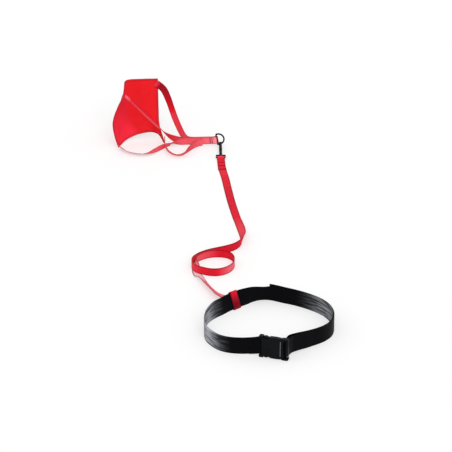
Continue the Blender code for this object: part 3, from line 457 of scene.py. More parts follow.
def tube(points, radius, sides):
    """Return the points, faces and weave of a round thread along a line, in layout millimetres."""
    points = np.asarray(points, float)
    ahead = unit(np.gradient(points, axis=0))
    steep = abs(ahead[:, 2:3]) > STEEP
    side = unit(np.cross(ahead, np.where(steep, [[1.0, 0.0, 0.0]], [[0.0, 0.0, 1.0]])))
    other = np.cross(ahead, side)
    along = lengths_along(points)
    verts, weave = [], []
    for i, p in enumerate(points):
        for k in range(sides):
            a = 2 * math.pi * k / sides
            verts.append(p + radius * (math.cos(a) * side[i] + math.sin(a) * other[i]))
            weave.append((along[i], a, 0.0))
    faces = rings(len(points), sides)
    faces.append(tuple(range(sides)))
    faces.append(tuple((len(points) - 1) * sides + k for k in range(sides)))
    return verts, faces, weave


def threads(name, lines, radius, material, sides=6):
    """Make one piece of several threads, or of other round lines."""
    verts, faces, weave = [], [], []
    for line in lines:
        more_verts, more_faces, more_weave = tube(line, radius, sides)
        faces += [tuple(len(verts) + index for index in face) for face in more_faces]
        verts += more_verts
        weave += more_weave
    return mesh_piece(name, verts, faces, weave, material)


def zigzag(middle, along, wide, normal, length, width, turns, lift):
    """Return a bar tack's line: thread that goes to and fro over a row of a given length and width."""
    points = []
    for i in range(2 * turns + 1):
        share = i / (2 * turns) - 0.5
        to = 0.5 if i % 2 else -0.5
        points.append(middle + along * length * to + wide * width * share + normal * lift)
    return points


def put(piece, body, slot, *nodes):
    """Hang a piece on a body and let it stand for CAD nodes."""
    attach(piece, body)
    if nodes:
        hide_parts(*nodes)
    return piece


# The leash, a free cord, from the hook's eye round its coil to the belt: x, y, lift, lean
LEASH_ROUTE = [
    (-10.4, 416, 0.4, 90), (-8, 396, 0.2, 90), (-2.2, 352, 0.2, 90),
    (4.1, 290, 0.2, 90), (10.3, 230, 0.2, 90), (17, 170, 0.2, 90),
    (24.9, 110, 0.2, 90), (33.2, 52, 0.4, 90), (37.6, 26, 0.6, 94),
    (42.4, -6, 0.6, 100), (45.9, -32, 0.6, 110), (49.2, -65, 0.6, 127),
    (50.8, -100, 0.6, 148), (49.8, -118, 0.4, 163), (45.8, -136, 0.3, 173),
    (37, -156, 0.2, 178), (22.5, -174, 0.2, 180), (3, -187, 0.2, 180),
    (-20, -199, 0.2, 180), (-45, -211, 0.2, 180), (-68, -227, 0.4, 180),
    (-87, -249, 1.4, 180), (-99, -277, 3, 180), (-99, -305, 3.6, 180),
    (-87, -328, 3.6, 180), (-67, -341.5, 3.2, 180), (-42, -347.5, 1.2, 180),
    (-16, -343, 0.2, 180), (8, -325, 0.2, 180), (22, -298, 0.2, 180),
    (24.5, -268, 0.2, 180), (16.5, -241, 0.2, 180), (0, -225, 0.2, 180),
    (-24, -219.5, 0.2, 180), (-48, -223.5, 0.2, 180), (-67, -235.5, 0.2, 176),
    (-80, -249.5, 0.3, 173), (-88, -265, 0.4, 168), (-90.5, -281, 0.5, 158),
    (-88.5, -295, 0.6, 136), (-87.5, -309, 0.6, 104), (-86, -323, 0.6, 90),
    (-83, -338, 0.6, 90), (-79.8, -349, 0.7, 86), (-75.5, -360, 0.8, 70),
    (-65.5, -388, 0.8, 54), (-54, -419, 1.4, 51), (-43, -446, 3, 52),
    (-31, -474, 6.4, 58), (-17, -500, 12, 74),
]
# Its last points: how far past the loop's reach it ends, and the last step with its rise and leans
LEASH_END_GAP, LAST_STEP, LAST_RISE, LAST_LEANS = 0.9, 10.0, 3.0, (85.0, 90.0)
# How pale or dark the leash is along its length: paler as painted highlights, darker as painted shade.
LEASH_TINT = (
    [0, 0.05, 0.10, 0.16, 0.22, 0.27, 0.33, 0.37, 0.41, 0.47, 0.56, 0.61,
     0.645, 0.665, 0.69, 0.73, 0.76, 0.80, 0.825, 0.85, 0.87, 0.90, 0.94, 1.0],
    [0.06, 0.0, -0.16, -0.2, -0.06, 0.04, 0.16, 0.05, -0.2, 0.08, 0.1, -0.1,
     0.34, 0.36, 0.0, -0.06, 0.16, 0.4, 0.72, 0.98, 0.92, 0.42, 0.34, 0.5],
)

# The leash's loop round the belt: its middle, its turns, where its layers meet and end, clearance, and tints:
# painted shade on its lower part and along one edge, and a painted highlight near its ends.
LOOP_AT = np.array([25.0, -555.5, 27.6])
LOOP_TURN, LOOP_LEAN, LOOP_SKEW = (math.radians(angle) for angle in (41.0, 14.0, 7.0))
LOOP_REACH, LOOP_NECK, LOOP_LAP, LOOP_CLEAR, LOOP_STEP = 30.0, 14.0, 2.0, 2.4, 1.2
LOOP_DROP = LOOP_NECK * math.sin(LOOP_LEAN)
# Its section: half of what its layers are apart, how it flares at the belt's edges, and its neck's points
LOOP_APART, LOOP_FLARE, LOOP_CORNER_INTO = 0.9, 1.4, 1.0
LOOP_UPPER, LOOP_LOWER = ((2.5, 1.2), (0.0, 1.5)), ((0.0, -0.6), (2.5, -0.4))
LOOP_TINT = (
    [0, 0.13, 0.26, 0.33, 0.38, 0.45, 0.52, 0.6, 0.7, 0.87, 1],
    [0.4, 0.16, 0.0, -0.12, -0.2, -0.55, -0.85, -1.05, -0.6, 0.0, 0.4],
)
LOOP_SLANT = 0.24

# How high a row of thread stands over its webbing's middle, half of a row's width, and the threads
THREAD_LIFT = TAPE_THICK / 2 + 0.35
ROW_HALF = 10.5
THREAD_RADIUS, FINE_THREAD_RADIUS = 0.42, 0.26


def tack(name, centres, sides, at, half, length, lift, turns, material, radius=THREAD_RADIUS):
    """Sew a bar tack across webbing, at a distance along it."""
    along = lengths_along(centres)
    middle = np.array([np.interp(at, along, column) for column in centres[:, :3].T])
    i = min(max(int(np.searchsorted(along, at)), 1), len(along) - 2)
    ahead = unit(centres[i + 1, :3] - centres[i - 1, :3])
    side = unit(sides[i] - ahead * float(np.dot(sides[i], ahead)))
    row = zigzag(middle, ahead, side, np.cross(ahead, side), length, 2 * half, turns, lift)
    return threads(name, [row], radius, material)


def make_leash(red, thread):
    """Make the leash as one webbing, its sewn fold at the swivel eye and its sewn loop on the belt."""
    out = np.array(turned(0.0, 1.0, LOOP_TURN))
    end = LOOP_AT[:2] + (LOOP_REACH + LEASH_END_GAP) * out
    height = LOOP_AT[2] - LOOP_DROP - TAPE_THICK / 2
    before, lower = end + LAST_STEP * out, height - LAST_RISE
    points = LEASH_ROUTE + [(*before, lower, LAST_LEANS[0]), (*end, height, LAST_LEANS[1])]
    route = even_steps(smooth_route(laid(points, TAPE_WIDTH, TAPE_THICK)))
    leash = webbing("leash", route, across(route), TAPE_WIDTH, TAPE_THICK, red, LEASH_TINT)
    put(leash, "leash", "red_webbing", "leash_run", "leash_coil", "leash_tail")
    make_hook_fold(red, thread, route[0, :3])
    make_belt_loop(red, thread)


# The fold round the swivel eye's bar, which is at EYE_AT: its layers' points and its rows of stitching
EYE_AT = np.array([-16.69, 509.13, 5.09])
FOLD_TURN = math.radians(2.6)
FOLD_LENGTH = 95.0
FOLD_FLOOR_GAP, FOLD_LAYER_GAP, FOLD_RADIUS = 0.3, 0.1, 3.8
FOLD_LOWER = (-60.0, -30.0, -14.0)
FOLD_UPPER = ((-6.0, 2.6), (-10.5, 0.9), (-15.0, 0.15), (-30.0, 0.0), (-60.0, 0.0), (-FOLD_LENGTH, 0.0))
FOLD_TACKS = (35.0, 62.0, 89.0)
# Tints along the fold: painted shade where it turns under the eye's bar, and a painted highlight just past
# it.
FOLD_TINT = (
    [0, 0.34, 0.36, 0.455, 0.475, 0.5, 0.56, 1],
    [0.0, 0.0, -0.95, -0.95, 0.36, 0.3, 0.0, -0.04],
)


def make_hook_fold(red, thread, leash_start):
    """Fold the leash's end round the eye's bar and sew it down."""
    low = FOLD_FLOOR_GAP - EYE_AT[2] + TAPE_THICK / 2
    high = low + TAPE_THICK + FOLD_LAYER_GAP
    flat = [(y, low) for y in FOLD_LOWER] + arc((0.0, 0.0), FOLD_RADIUS, -90, 112, 16)
    flat += [(y, high + more) for y, more in FOLD_UPPER]
    points = [EYE_AT + (*turned(0.0, y, FOLD_TURN), z) for y, z in flat]
    route = even_steps(np.array([leash_start, *points]), FINE_STEP)
    sides = np.tile([*turned(1.0, 0.0, FOLD_TURN), 0.0], (len(route), 1))
    fold = webbing("leash_fold", route, sides, TAPE_WIDTH, TAPE_THICK, red, FOLD_TINT)
    put(fold, "leash", "red_webbing", "leash_hook_fold")
    total = lengths_along(route)[-1]
    for number, reach in enumerate(FOLD_TACKS, start=1):
        at = total - (FOLD_LENGTH - reach)
        row = tack(f"fold_tack_{number}", route, sides, at, half=11.2, length=3.6, lift=THREAD_LIFT, turns=34,
                   material=thread)
        put(row, "leash", "red_thread", f"leash_fold_tack_{number}")


# The hook's trim in the hook's own frame: where its neck, loop and gate start and end, and its widths
HOOK_TURN, HOOK_RISE = math.radians(0.8), math.radians(2.85)
HOOK_NECK = (22.0, 46.0)
HOOK_LOOP = (52.2, 98.3)
HOOK_GATE = (57.0, 87.5)
HOOK_LOOP_HALF = 5.7
HOOK_SIDE = 3.3
HOOK_RIM_RADIUS, HOOK_SLEEVE_RADIUS = 1.4, 4.7


def at_hook(x, y, z):
    """Return the layout point of a point in the hook's own frame, +Y along it."""
    ahead, height = turned(y, z, HOOK_RISE)
    return EYE_AT + (*turned(x, ahead, HOOK_TURN), height)


def make_hook_trim(plastic):
    """Make the rims moulded on the hook's sides, open at the gate, and the sleeve on its neck."""
    low, high = HOOK_LOOP
    half = HOOK_LOOP_HALF
    outline = [(HOOK_GATE[0], half), (low, half), *arc((low, 0.0), half, 90, 270, 12)]
    outline += [(y, -half) for y in np.linspace(low, high, 12)]
    outline += [*arc((high, 0.0), half, -90, 90, 14), (HOOK_GATE[1], half)]
    rims = [[at_hook(x, y, z) for y, z in outline] for x in (-HOOK_SIDE, HOOK_SIDE)]
    sleeve = [[at_hook(0.0, y, 0.0) for y in np.linspace(*HOOK_NECK, 7)]]
    put(threads("hook_rims", rims, HOOK_RIM_RADIUS, plastic, 12), "hook", "black_plastic")
    put(threads("hook_sleeve", sleeve, HOOK_SLEEVE_RADIUS, plastic, 24), "hook", "black_plastic")


def make_belt_loop(red, thread):
    """Fold the leash's other end round the belt and sew it to itself."""
    turn_at = BELT_WIDTH / 2 - LOOP_CORNER_INTO
    out = LOOP_CLEAR + TAPE_THICK / 2
    reach = LOOP_REACH + LOOP_LAP
    rise = (LOOP_REACH - LOOP_NECK) * math.tan(LOOP_LEAN)
    upper, lower = ([(LOOP_NECK + past, z) for past, z in layer] for layer in (LOOP_UPPER, LOOP_LOWER))
    flat = [(reach, rise + LOOP_APART), *upper, (out + LOOP_FLARE, turn_at)]
    flat += arc((0.0, turn_at), out, 10, 170, 10)
    flat += [(-out, 10.0), (-out, -10.0)]
    flat += arc((0.0, -turn_at), out, 190, 350, 10)
    flat += [(out + LOOP_FLARE, -turn_at), *lower, (reach, rise - LOOP_APART)]
    points = []
    for y, z in even_steps(np.array(flat), LOOP_STEP):
        out_y, out_z = turned(y, z, -LOOP_LEAN)
        points.append(LOOP_AT + (*turned(-math.tan(LOOP_SKEW) * z, out_y, LOOP_TURN), out_z))
    route = np.array(points)
    sides = np.tile([*turned(1.0, 0.0, LOOP_TURN), 0.0], (len(points), 1))
    loop = webbing("belt_loop", route, sides, TAPE_WIDTH, TAPE_THICK, red, LOOP_TINT, LOOP_SLANT)
    put(loop, "leash", "red_webbing", "leash_belt_loop")
    row = tack("belt_loop_tack", route, sides, at=8.0, half=ROW_HALF, length=2.4, lift=-THREAD_LIFT,
               turns=26, material=thread)
    put(row, "leash", "red_thread", "leash_belt_tack")


# The belt; the bars' places are along the buckle from BUCKLE_AT
BUCKLE_AT = (149.6, -862.5)
BUCKLE_TURN = math.radians(-19.0)
BUCKLE_LIFT = 8.0
SOCKET_BAR_X, PLUG_BAR_X = -60.0, 13.0
BUCKLE_BAR_RADIUS, BAR_GAP = 1.8, 0.45
BELT_TURN_RADIUS = BUCKLE_BAR_RADIUS + BAR_GAP + BELT_THICK / 2
STRETCH_LENGTH = 135.0
TAIL_END_X, TAIL_LAP = 121.0, 2.0
TAIL_BACK_Y = BUCKLE_AT[1] + 200.0
HEM_LENGTH = 30.0
HEM_TACKS = (8.0, 16.0)
# Distances along the belt from the plug, the tail's end or the socket, and the gap between layers at each
RETURN_GAPS = ([0, 12, 30, 55, 75, 95, 115, 140], [5.6, 8.6, 11.4, 10.4, 8.2, 5.7, 3.4, 2.5])
TAIL_GAPS = ([0, 20, 40, 70], [7.2, 3.4, 1.4, 0.0])
HEM_GAPS = ([0, 8, 16, 24], [5.7, 4.6, 3.0, 2.4])
RIM_AT, RIM_HEIGHTS, RIM_RADIUS = (0.4, -6.75), (11.0, 57.0), 0.5
# Shares of the strap's length, and how strong the streaks of light are at each
BELT_SHINE = (
    [0, 0.13, 0.17, 0.21, 0.26, 0.31, 0.36, 0.40, 0.44, 0.69, 0.74, 0.80, 0.85, 0.9, 1],
    [0, 0.0, 0.26, 0.78, 1.0, 0.6, 0.72, 0.36, 0.04, 0.0, 0.22, 0.6, 0.54, 0.16, 0.0],
)
# The belt's inner layer, from the socket round to the plug: x, y, lift, lean
BELT_LINE = [
    (73, -840.5, 7, 0), (56, -839, 5, 0), (40, -835.5, 3, 0),
    (23.3, -830, 1, 0), (6.9, -824.7, 0.2, 0), (-9.6, -817, 0.2, 0),
    (-26, -803.6, 0.2, 0), (-42.3, -781.5, 0.2, 0), (-53.5, -759, 0.2, 0),
    (-59.3, -735, 0.2, 0), (-60.4, -705, 0.2, 0), (-57, -670, 0.2, 0),
    (-45.5, -635, 0.2, -4), (-29.5, -609.5, 0.6, -11), (-12, -592.5, 1.8, -13.5),
    (6.5, -573, 3.1, -14), (25, -555.5, 3.1, -14), (41, -542, 2.8, -12),
    (57.5, -529.5, 1.6, -8), (75.5, -516.5, 0.6, 3), (93, -509.5, 0.2, 12),
    (110, -507, 0.2, 15), (127, -507.5, 0.2, 10), (144, -512, 0.2, 3),
    (161, -519.5, 0.2, 0), (195, -535.8, 0.2, 0), (228.5, -557.4, 0.2, 0),
    (262, -586.6, 0.2, 0), (279, -609, 0.2, 0), (291.5, -636, 0.2, 0),
    (298.5, -668, 0.2, 0), (298, -698, 0.2, 0), (290, -728, 0.2, 0),
    (273, -753.5, 0.4, 0), (255.5, -770, 0.8, 0), (238.4, -782.5, 1.6, 0),
    (221.4, -794.5, 3, 0), (204.7, -804.5, 4.4, 0), (188, -815.5, 6, 0),
    (172.5, -829, 7.4, 0),
]
# Its first and last points, in the buckle's plan, and the stretch's points where its bending starts and ends
BESIDE_SOCKET = (SOCKET_BAR_X - 5.0, BELT_TURN_RADIUS)
BEHIND_PLUG = [(9.3, 30.0), (9.4, 18.0), (10.0, 8.0), (10.2, 4.0)]


def at_buckle(x, y):
    """Return the (x, y, lift, lean) in the layout of a point in the buckle's own plan."""
    x, y = turned(x, y, BUCKLE_TURN)
    return BUCKLE_AT[0] + x, BUCKLE_AT[1] + y, BUCKLE_LIFT, 0.0


def belt_turn(bar_x, start, end, steps, slack=0.0):
    """Return the points of a webbing turn round one of the buckle's bars; slack lengthens its bend."""
    points = arc((0.0, 0.0), BELT_TURN_RADIUS, start, end, steps)
    return [at_buckle(bar_x + x * (1 + slack / BELT_TURN_RADIUS), y) for x, y in points]


def offset_line(line, distance):
    """Move a line sideways on the floor, to the left of its travel, and stand it upright."""
    moved = line.copy()
    ahead = np.gradient(line[:, :2], axis=0)
    ahead /= np.linalg.norm(ahead, axis=1)[:, None]
    moved[:, 0] -= ahead[:, 1] * distance
    moved[:, 1] += ahead[:, 0] * distance
    moved[:, 3] = 0.0
    return moved


def make_belt(black, thread):
    """Make the waist strap: hemmed round the socket's bar, and led round the plug's bar to its tail."""
    line = smooth_route([at_buckle(*BESIDE_SOCKET)] + BELT_LINE + [at_buckle(x, y) for x, y in BEHIND_PLUG])
    along = lengths_along(line)
    to_plug = along[-1] - along
    cut = along[-1] - STRETCH_LENGTH
    off_end = abs(line[:, 0] - TAIL_END_X)
    end = along[np.argmin(np.where(line[:, 1] < TAIL_BACK_Y, np.inf, off_end))]
    outside = offset_line(line, np.interp(to_plug, *RETURN_GAPS) + np.interp(along - end, *TAIL_GAPS))
    hem = offset_line(line, np.interp(along, *HEM_GAPS))[along < HEM_LENGTH][::-1]

    strap = [even_steps(hem), belt_turn(SOCKET_BAR_X, start=-90.0, end=90.0, steps=12, slack=2.0),
             even_steps(line, end=cut)]
    stretch = [even_steps(line, start=cut), belt_turn(PLUG_BAR_X, start=165.0, end=375.0, steps=20),
               even_steps(outside[along > cut][::-1])]
    tail = [even_steps(outside[(along > end) & (along <= cut + TAIL_LAP)])]
    wanted = (("belt", strap, BELT_SHINE), ("belt_at_plug", stretch, 0.0), ("belt_end", tail, 0.0))
    pieces = []
    for name, legs, tint in wanted:
        route = laid(np.vstack(legs), BELT_WIDTH, BELT_THICK)
        pieces.append(webbing(name, route, across(route), BELT_WIDTH, BELT_THICK, black, tint))
    belt, at_plug, belt_end = pieces
    put(belt, "belt", "black_webbing", "belt_strap")
    put(belt_end, "belt", "black_webbing", "belt_tail")
    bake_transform(at_plug)
    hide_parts("belt_stretch_at_plug")

    hem = laid(hem, BELT_WIDTH, BELT_THICK)
    for number, reach in enumerate(HEM_TACKS, start=1):
        row = tack(f"hem_tack_{number}", hem, across(hem), reach, half=21.0, length=2.4, lift=THREAD_LIFT,
                   turns=50, material=thread)
        put(row, "belt", "black_thread", f"belt_hem_tack_{number}")


def make_rim(painted_highlight):
    """Make the rim moulded round the socket's mouth, pale grey all over as a painted highlight."""
    x, y, _, _ = at_buckle(*RIM_AT)
    line = [(x, y, height) for height in np.linspace(*RIM_HEIGHTS, 25)]
    put(threads("socket_rim", [line], RIM_RADIUS, painted_highlight), "belt", "black_plastic")


# The chute: its ring, the tab that holds it, its sheet's flat size and its straps
RING_AT = np.array([-29.6, 607.0, 26.0])
RING_TILT = math.radians(-10.0)
RING_WIRE, RING_BAR_HALF, RING_STRAIGHT, RING_CORNER = 2.55, 18.2, 4.8, 2.5
RING_SIDES = 18
TAB_START = np.array([-127.0, 625.5, 13.1])
TAB_END_DROP = 2.4
TAB_TURN_RADIUS = 4.2
TAB_TAPE_THICK = TAPE_THICK - 0.04
TAB_TACKS, TAB_ROW_LIFT = (21.0, 14.5), TAPE_THICK / 2 + 0.3
TAB_LEAN_FROM, TAB_LEAN_OVER = 22.0, 15.0
# Before the ring's bar, half of what its layers are apart; where its core starts, and ends before the bar
TAB_FLARE, TAB_CORE = ((12.5, 1.6), (9.5, 2.4), (6.5, 3.9)), (0.4, 11.0)
# Tints along the tab's fold: paler as painted light, with painted shade at its tip round the ring's bar.
TAB_TINT = (
    [0, 0.2, 0.35, 0.40, 0.465, 0.48, 0.52, 0.535, 0.60, 0.65, 0.8, 1.0],
    [0.3, 0.36, 0.42, 0.56, 0.66, -0.9, -0.9, 0.66, 0.56, 0.42, 0.36, 0.3],
)
CHUTE_SIDE, CHUTE_THICK = 203.0, 0.8
SHEET_SHARES = np.linspace(0, 1, 73)
HEM_SHARES = np.linspace(0.012, 0.988, 61)
LINE_CELLS = 60
HEM_WIDTH, HEM_THICK, HEM_INTO, HEM_TINT = 8.6, 0.6, 4.6, -0.25
STITCH_INTO, STITCH_STEP, STITCH_LENGTH, STITCH_RADIUS = 7.4, 3.6, 2.5, 0.25
STITCH_LIFTS, LAST_STITCH = (CHUTE_THICK / 2 + 0.72, -CHUTE_THICK / 2 - 0.12), 0.012
STRAP_TACKS, STRAP_ROW_LIFT = (4.0, 12.0), TAPE_THICK / 2 + 0.25
# The straps from the sheet to the tab: x, y, height of the middle, lean
STRAPS = {
    "strap_top_back": [
        (-229, 705.8, 183, 0), (-216, 703, 175, 0), (-202, 698, 163, -3),
        (-187, 690, 132, -6), (-175, 680, 99, -10), (-164, 669, 71, -12),
        (-150, 654, 43, -10), (-137, 641, 23, -5), (-124, 631, 15, 0),
        (-104, 625.6, 14.4, 0),
    ],
    "strap_top_front": [
        (-324, 621.5, 171, 90), (-304, 621.5, 153, 90), (-277, 621, 125, 92),
        (-245, 620, 92, 95), (-214, 620, 60, 84), (-188, 622, 36, 52),
        (-165, 624.5, 21, 18), (-146, 625.5, 14.5, 4), (-128.2, 626, 13, 0),
        (-124, 625.7, 13.1, 0),
    ],
    "strap_bottom_front": [
        (-344, 589.5, 9, 50), (-325, 559.4, 8.4, 54), (-302, 541.7, 7.2, 61),
        (-267, 535.4, 6, 67), (-245, 548, 4.2, 76), (-222, 581, 2, 87),
        (-198, 613, 1.7, 88), (-182, 621, 3.6, 82), (-166, 617.5, 9.4, 48),
        (-150, 619.5, 12.8, 14), (-138, 621.6, 13, 2), (-128.2, 624, 13, 0),
        (-124, 624.3, 13.1, 0),
    ],
    "strap_bottom_back": [
        (-199, 628, 16.6, 0), (-198, 613, 16.4, 0), (-195.5, 583, 14.8, 8),
        (-187, 553, 12.2, 25), (-172, 531, 9.6, 46), (-154, 521, 7.9, 57),
        (-140, 525, 9.6, 46), (-127, 546, 12, 24), (-112, 576, 12.9, 10),
        (-95, 600, 14.2, 3), (-76, 611.2, 15.5, 0),
    ],
}
# How pale each strap is along it, and how much paler its one edge is than the other: painted highlights where
# it is paler, painted shade where it is darker.
STRAP_TINTS = {
    "strap_top_back": (([0, 0.03, 0.07, 0.3, 0.5, 0.75, 0.9, 1],
                        [0.08, 0.16, -0.75, -0.46, 0.1, 0.15, 0.3, 0.3]), 0.0),
    "strap_top_front": (([0, 0.05, 0.09, 0.55, 0.7, 1], [0.5, 0.5, 0.0, 0.1, 0.1, 0.3]),
                        ([0, 0.06, 0.1, 0.55, 0.72], [0.0, 0.0, 0.45, 0.4, 0.0])),
    "strap_bottom_front": (([0, 0.3, 0.45, 0.7, 1], [0.62, 0.62, 0.28, 0.3, 0.32]), 0.0),
    "strap_bottom_back": (([0, 0.2, 0.4, 0.7, 1], [0.0, 0.4, 0.5, 0.2, 0.34]), 0.0),
}
# The sheet's creases in millimetres, and the fans of them at its corners, with shares and turns
CREASE_HEIGHT = 0.55
FAN_HEIGHT, FAN_REACH, FAN_WIDTH = 1.3, 0.22, 0.16
FAN_TURNS = {(0, 0): 0.3, (0, 1): 1.1, (1, 0): 0.8, (1, 1): 2.0}
# The sheet's control points, from its bottom row up, each row from its back edge to its front edge
CHUTE_ROWS = [
    [(-199, 631, 0.5), (-229, 671, 23), (-279, 665, 21), (-321, 640, 12), (-348, 598, 0.5)],
    [(-216, 665, 48), (-258, 690, 57), (-305, 687, 58), (-338, 645, 50), (-360, 601, 41)],
    [(-219, 692, 97), (-267, 702, 98), (-314, 697, 99), (-345, 652, 92), (-365, 607, 83)],
    [(-220, 704, 147), (-271, 708, 147), (-320, 703, 146), (-338, 662, 138), (-351, 620, 127)],
    [(-221, 712, 196), (-272, 711, 195), (-323, 706, 192), (-328, 664, 183), (-327, 622, 169)],
]


def spread(rows, share):
    """Run a Catmull-Rom curve through evenly spaced control points, and take it at shares from 0 to 1."""
    rows = np.array(rows, float)
    rows = np.vstack([[2 * rows[0] - rows[1]], rows, [2 * rows[-1] - rows[-2]]])
    spans = len(rows) - 3
    at = np.clip(np.asarray(share) * spans, 0, spans - 1e-9)
    i = at.astype(int)
    t = (at - i).reshape(-1, *[1] * (rows.ndim - 1))
    a, b, c, d = rows[i], rows[i + 1], rows[i + 2], rows[i + 3]
    square, cube = 2 * a - 5 * b + 4 * c - d, 3 * b - a - 3 * c + d
    return 0.5 * (2 * b + (c - a) * t + square * t**2 + cube * t**3)


def chute_grid(us, vs):
    """Return the sheet's points, [v, u], with the creases that its straps pull in it, and its normals.

    The creases die out at the edges. Broad waves run over the whole sheet, and fans of small ones
    spread from its four corners.
    """
    rows = spread(CHUTE_ROWS, vs)
    points = np.array([spread(row, us) for row in rows])
    u, v = np.meshgrid(us, vs)
    inside = (16 * u * (1 - u) * v * (1 - v)) ** 0.5
    crease = CREASE_HEIGHT * np.sin(9 * u + 5 * v) * np.cos(7 * v - 2 * u)
    for (corner_u, corner_v), turn in FAN_TURNS.items():
        du, dv = u - corner_u, v - corner_v
        near = np.exp(-((np.hypot(du, dv) - FAN_REACH) / FAN_WIDTH) ** 2)
        crease += FAN_HEIGHT * near * np.sin(9 * np.arctan2(abs(dv), abs(du)) + turn)
    normal = unit(np.cross(np.gradient(points, axis=1), np.gradient(points, axis=0)))
    return points + normal * (crease * inside)[..., None], normal


def chute_line(us, vs, lift):
    """Return points at a height above the sheet's face, for (u, v) in shares along a line."""
    fine = np.linspace(0, 1, LINE_CELLS + 1)
    points, normal = chute_grid(fine, fine)
    line = []
    for u, v in zip(us, vs):
        row, column = (min(int(share * LINE_CELLS), LINE_CELLS - 1) for share in (v, u))
        a, b = v * LINE_CELLS - row, u * LINE_CELLS - column
        weights = ((row, column, (1 - a) * (1 - b)), (row + 1, column, a * (1 - b)),
                   (row, column + 1, (1 - a) * b), (row + 1, column + 1, a * b))
        place = sum(points[r, c] * w for r, c, w in weights)
        facing = sum(normal[r, c] * w for r, c, w in weights)
        line.append(place + unit(facing) * lift)
    return np.array(line)


def edges_of_sheet(into, run):
    """Return lines along the sheet's back, front, bottom and top edges, a share inside of them."""
    low, high = np.full(len(run), into), np.full(len(run), 1 - into)
    return {"back": (low, run), "front": (high, run), "bottom": (run, low), "top": (run, high)}


def make_sheet(nylon, thread):
    """Make the drag sheet, its turned hems and their stitching."""
    points, _ = chute_grid(SHEET_SHARES, SHEET_SHARES)
    n = len(SHEET_SHARES)
    u, v = np.meshgrid(SHEET_SHARES * CHUTE_SIDE, SHEET_SHARES * CHUTE_SIDE)
    faces = [(r * n + c, r * n + c + 1, (r + 1) * n + c + 1, (r + 1) * n + c)
             for r in range(n - 1) for c in range(n - 1)]
    weave = np.column_stack([u.ravel(), v.ravel(), np.zeros(n * n)])
    sheet = mesh_piece("sheet", points.reshape(-1, 3), faces, weave, nylon)
    shell = sheet.modifiers.new("thickness", "SOLIDIFY")
    shell.thickness = CHUTE_THICK * MM
    shell.offset = 0.0
    put(sheet, "chute", "red_nylon", "chute_sheet")

    lift, nudge = CHUTE_THICK / 2 + HEM_THICK / 2, 0.01
    for edge, (us, vs) in edges_of_sheet(HEM_INTO / CHUTE_SIDE, HEM_SHARES).items():
        centres = chute_line(us, vs, lift)
        upright = edge in ("back", "front")
        beside = chute_line(us + nudge * upright, vs + nudge * (not upright), lift)
        hem = webbing(f"hem_{edge}", centres, beside - centres, HEM_WIDTH, HEM_THICK, nylon, HEM_TINT)
        put(hem, "chute", "red_nylon")
    hem_stitches(thread)


def hem_stitches(thread):
    """Make a running stitch round the sheet, seen on both faces."""
    into, lines = STITCH_INTO / CHUTE_SIDE, []
    starts = np.arange(into, 1 - into - LAST_STITCH, STITCH_STEP / CHUTE_SIDE)
    for lift in STITCH_LIFTS:
        for start in starts:
            run = np.linspace(start, start + STITCH_LENGTH / CHUTE_SIDE, 3)
            lines += [chute_line(us, vs, lift) for us, vs in edges_of_sheet(into, run).values()]
    return put(threads("hem_stitches", lines, STITCH_RADIUS, thread), "chute", "red_thread")


def make_straps(red, rose):
    """Make the four straps, with the rows that sew them to the sheet's corners."""
    for name, points in STRAPS.items():
        route = even_steps(smooth_route(points))
        piece_name = name.replace("strap", "chute_strap")
        strap = webbing(piece_name, route, across(route), TAPE_WIDTH, TAPE_THICK, red, *STRAP_TINTS[name])
        put(strap, "chute", "red_webbing", name)
        for number, at in enumerate(STRAP_TACKS, start=1):
            for side, lift in (("a", -STRAP_ROW_LIFT), ("b", STRAP_ROW_LIFT)):
                row = tack(f"{name}_row_{number}_{side}", route, across(route), at, half=ROW_HALF, length=2.2,
                           lift=lift, turns=24, material=rose, radius=FINE_THREAD_RADIUS)
                put(row, "chute", "red_thread")


def make_tab(red, thread):
    """Make the tab: the webbing that holds the ring, folded round a core at the straps' ends."""
    run = RING_AT - TAB_START
    full = float(np.hypot(run[0], run[1]))
    turn = math.atan2(run[1], run[0])
    rise = (run[2] - TAB_END_DROP) / full

    def tape(name, line, tint):
        """Sweep a webbing along (x, y) points of the tab's plan; near the ring it leans as the ring does."""
        route, sides = [], []
        for x, y in line:
            near = min(max((x - full + TAB_LEAN_FROM) / TAB_LEAN_OVER, 0.0), 1.0)
            skew = math.tan(RING_TILT) * near
            route.append(TAB_START + (*turned(x, y, turn), x * rise))
            sides.append((*turned(skew, 0.0, turn), 1.0 + skew * rise))
        route, sides = np.array(route), np.array(sides)
        return webbing(name, route, sides, TAPE_WIDTH, TAB_TAPE_THICK, red, tint), route, sides

    before_ring = [(0.0, TAB_FLARE[0][1])] + [(full - before, apart) for before, apart in TAB_FLARE]
    round_bar = arc((full, 0.0), TAB_TURN_RADIUS, -90, 90, 16)
    outer = [(x, -y) for x, y in before_ring] + round_bar + before_ring[::-1]
    outer = even_steps(np.array(outer), FINE_STEP)
    inner = even_steps(np.array([(TAB_CORE[0], 0.0), (full - TAB_CORE[1], 0.0)]))
    fold, route, sides = tape("tab_fold", outer, TAB_TINT)
    put(fold, "chute", "red_webbing", "chute_tab")
    total = lengths_along(outer)[-1]
    for number, reach in enumerate(TAB_TACKS, start=1):
        x = full - reach
        for name, at, nodes in ((f"tab_row_{number}", x, [f"tab_tack_{number}"]),
                                (f"tab_row_back_{number}", total - x, [])):
            row = tack(name, route, sides, at, half=ROW_HALF, length=2.2, lift=TAB_ROW_LIFT, turns=24,
                       material=thread)
            put(row, "chute", "red_thread", *nodes)
    core, _, _ = tape("tab_core", inner, 0.1)
    put(core, "chute", "red_webbing")


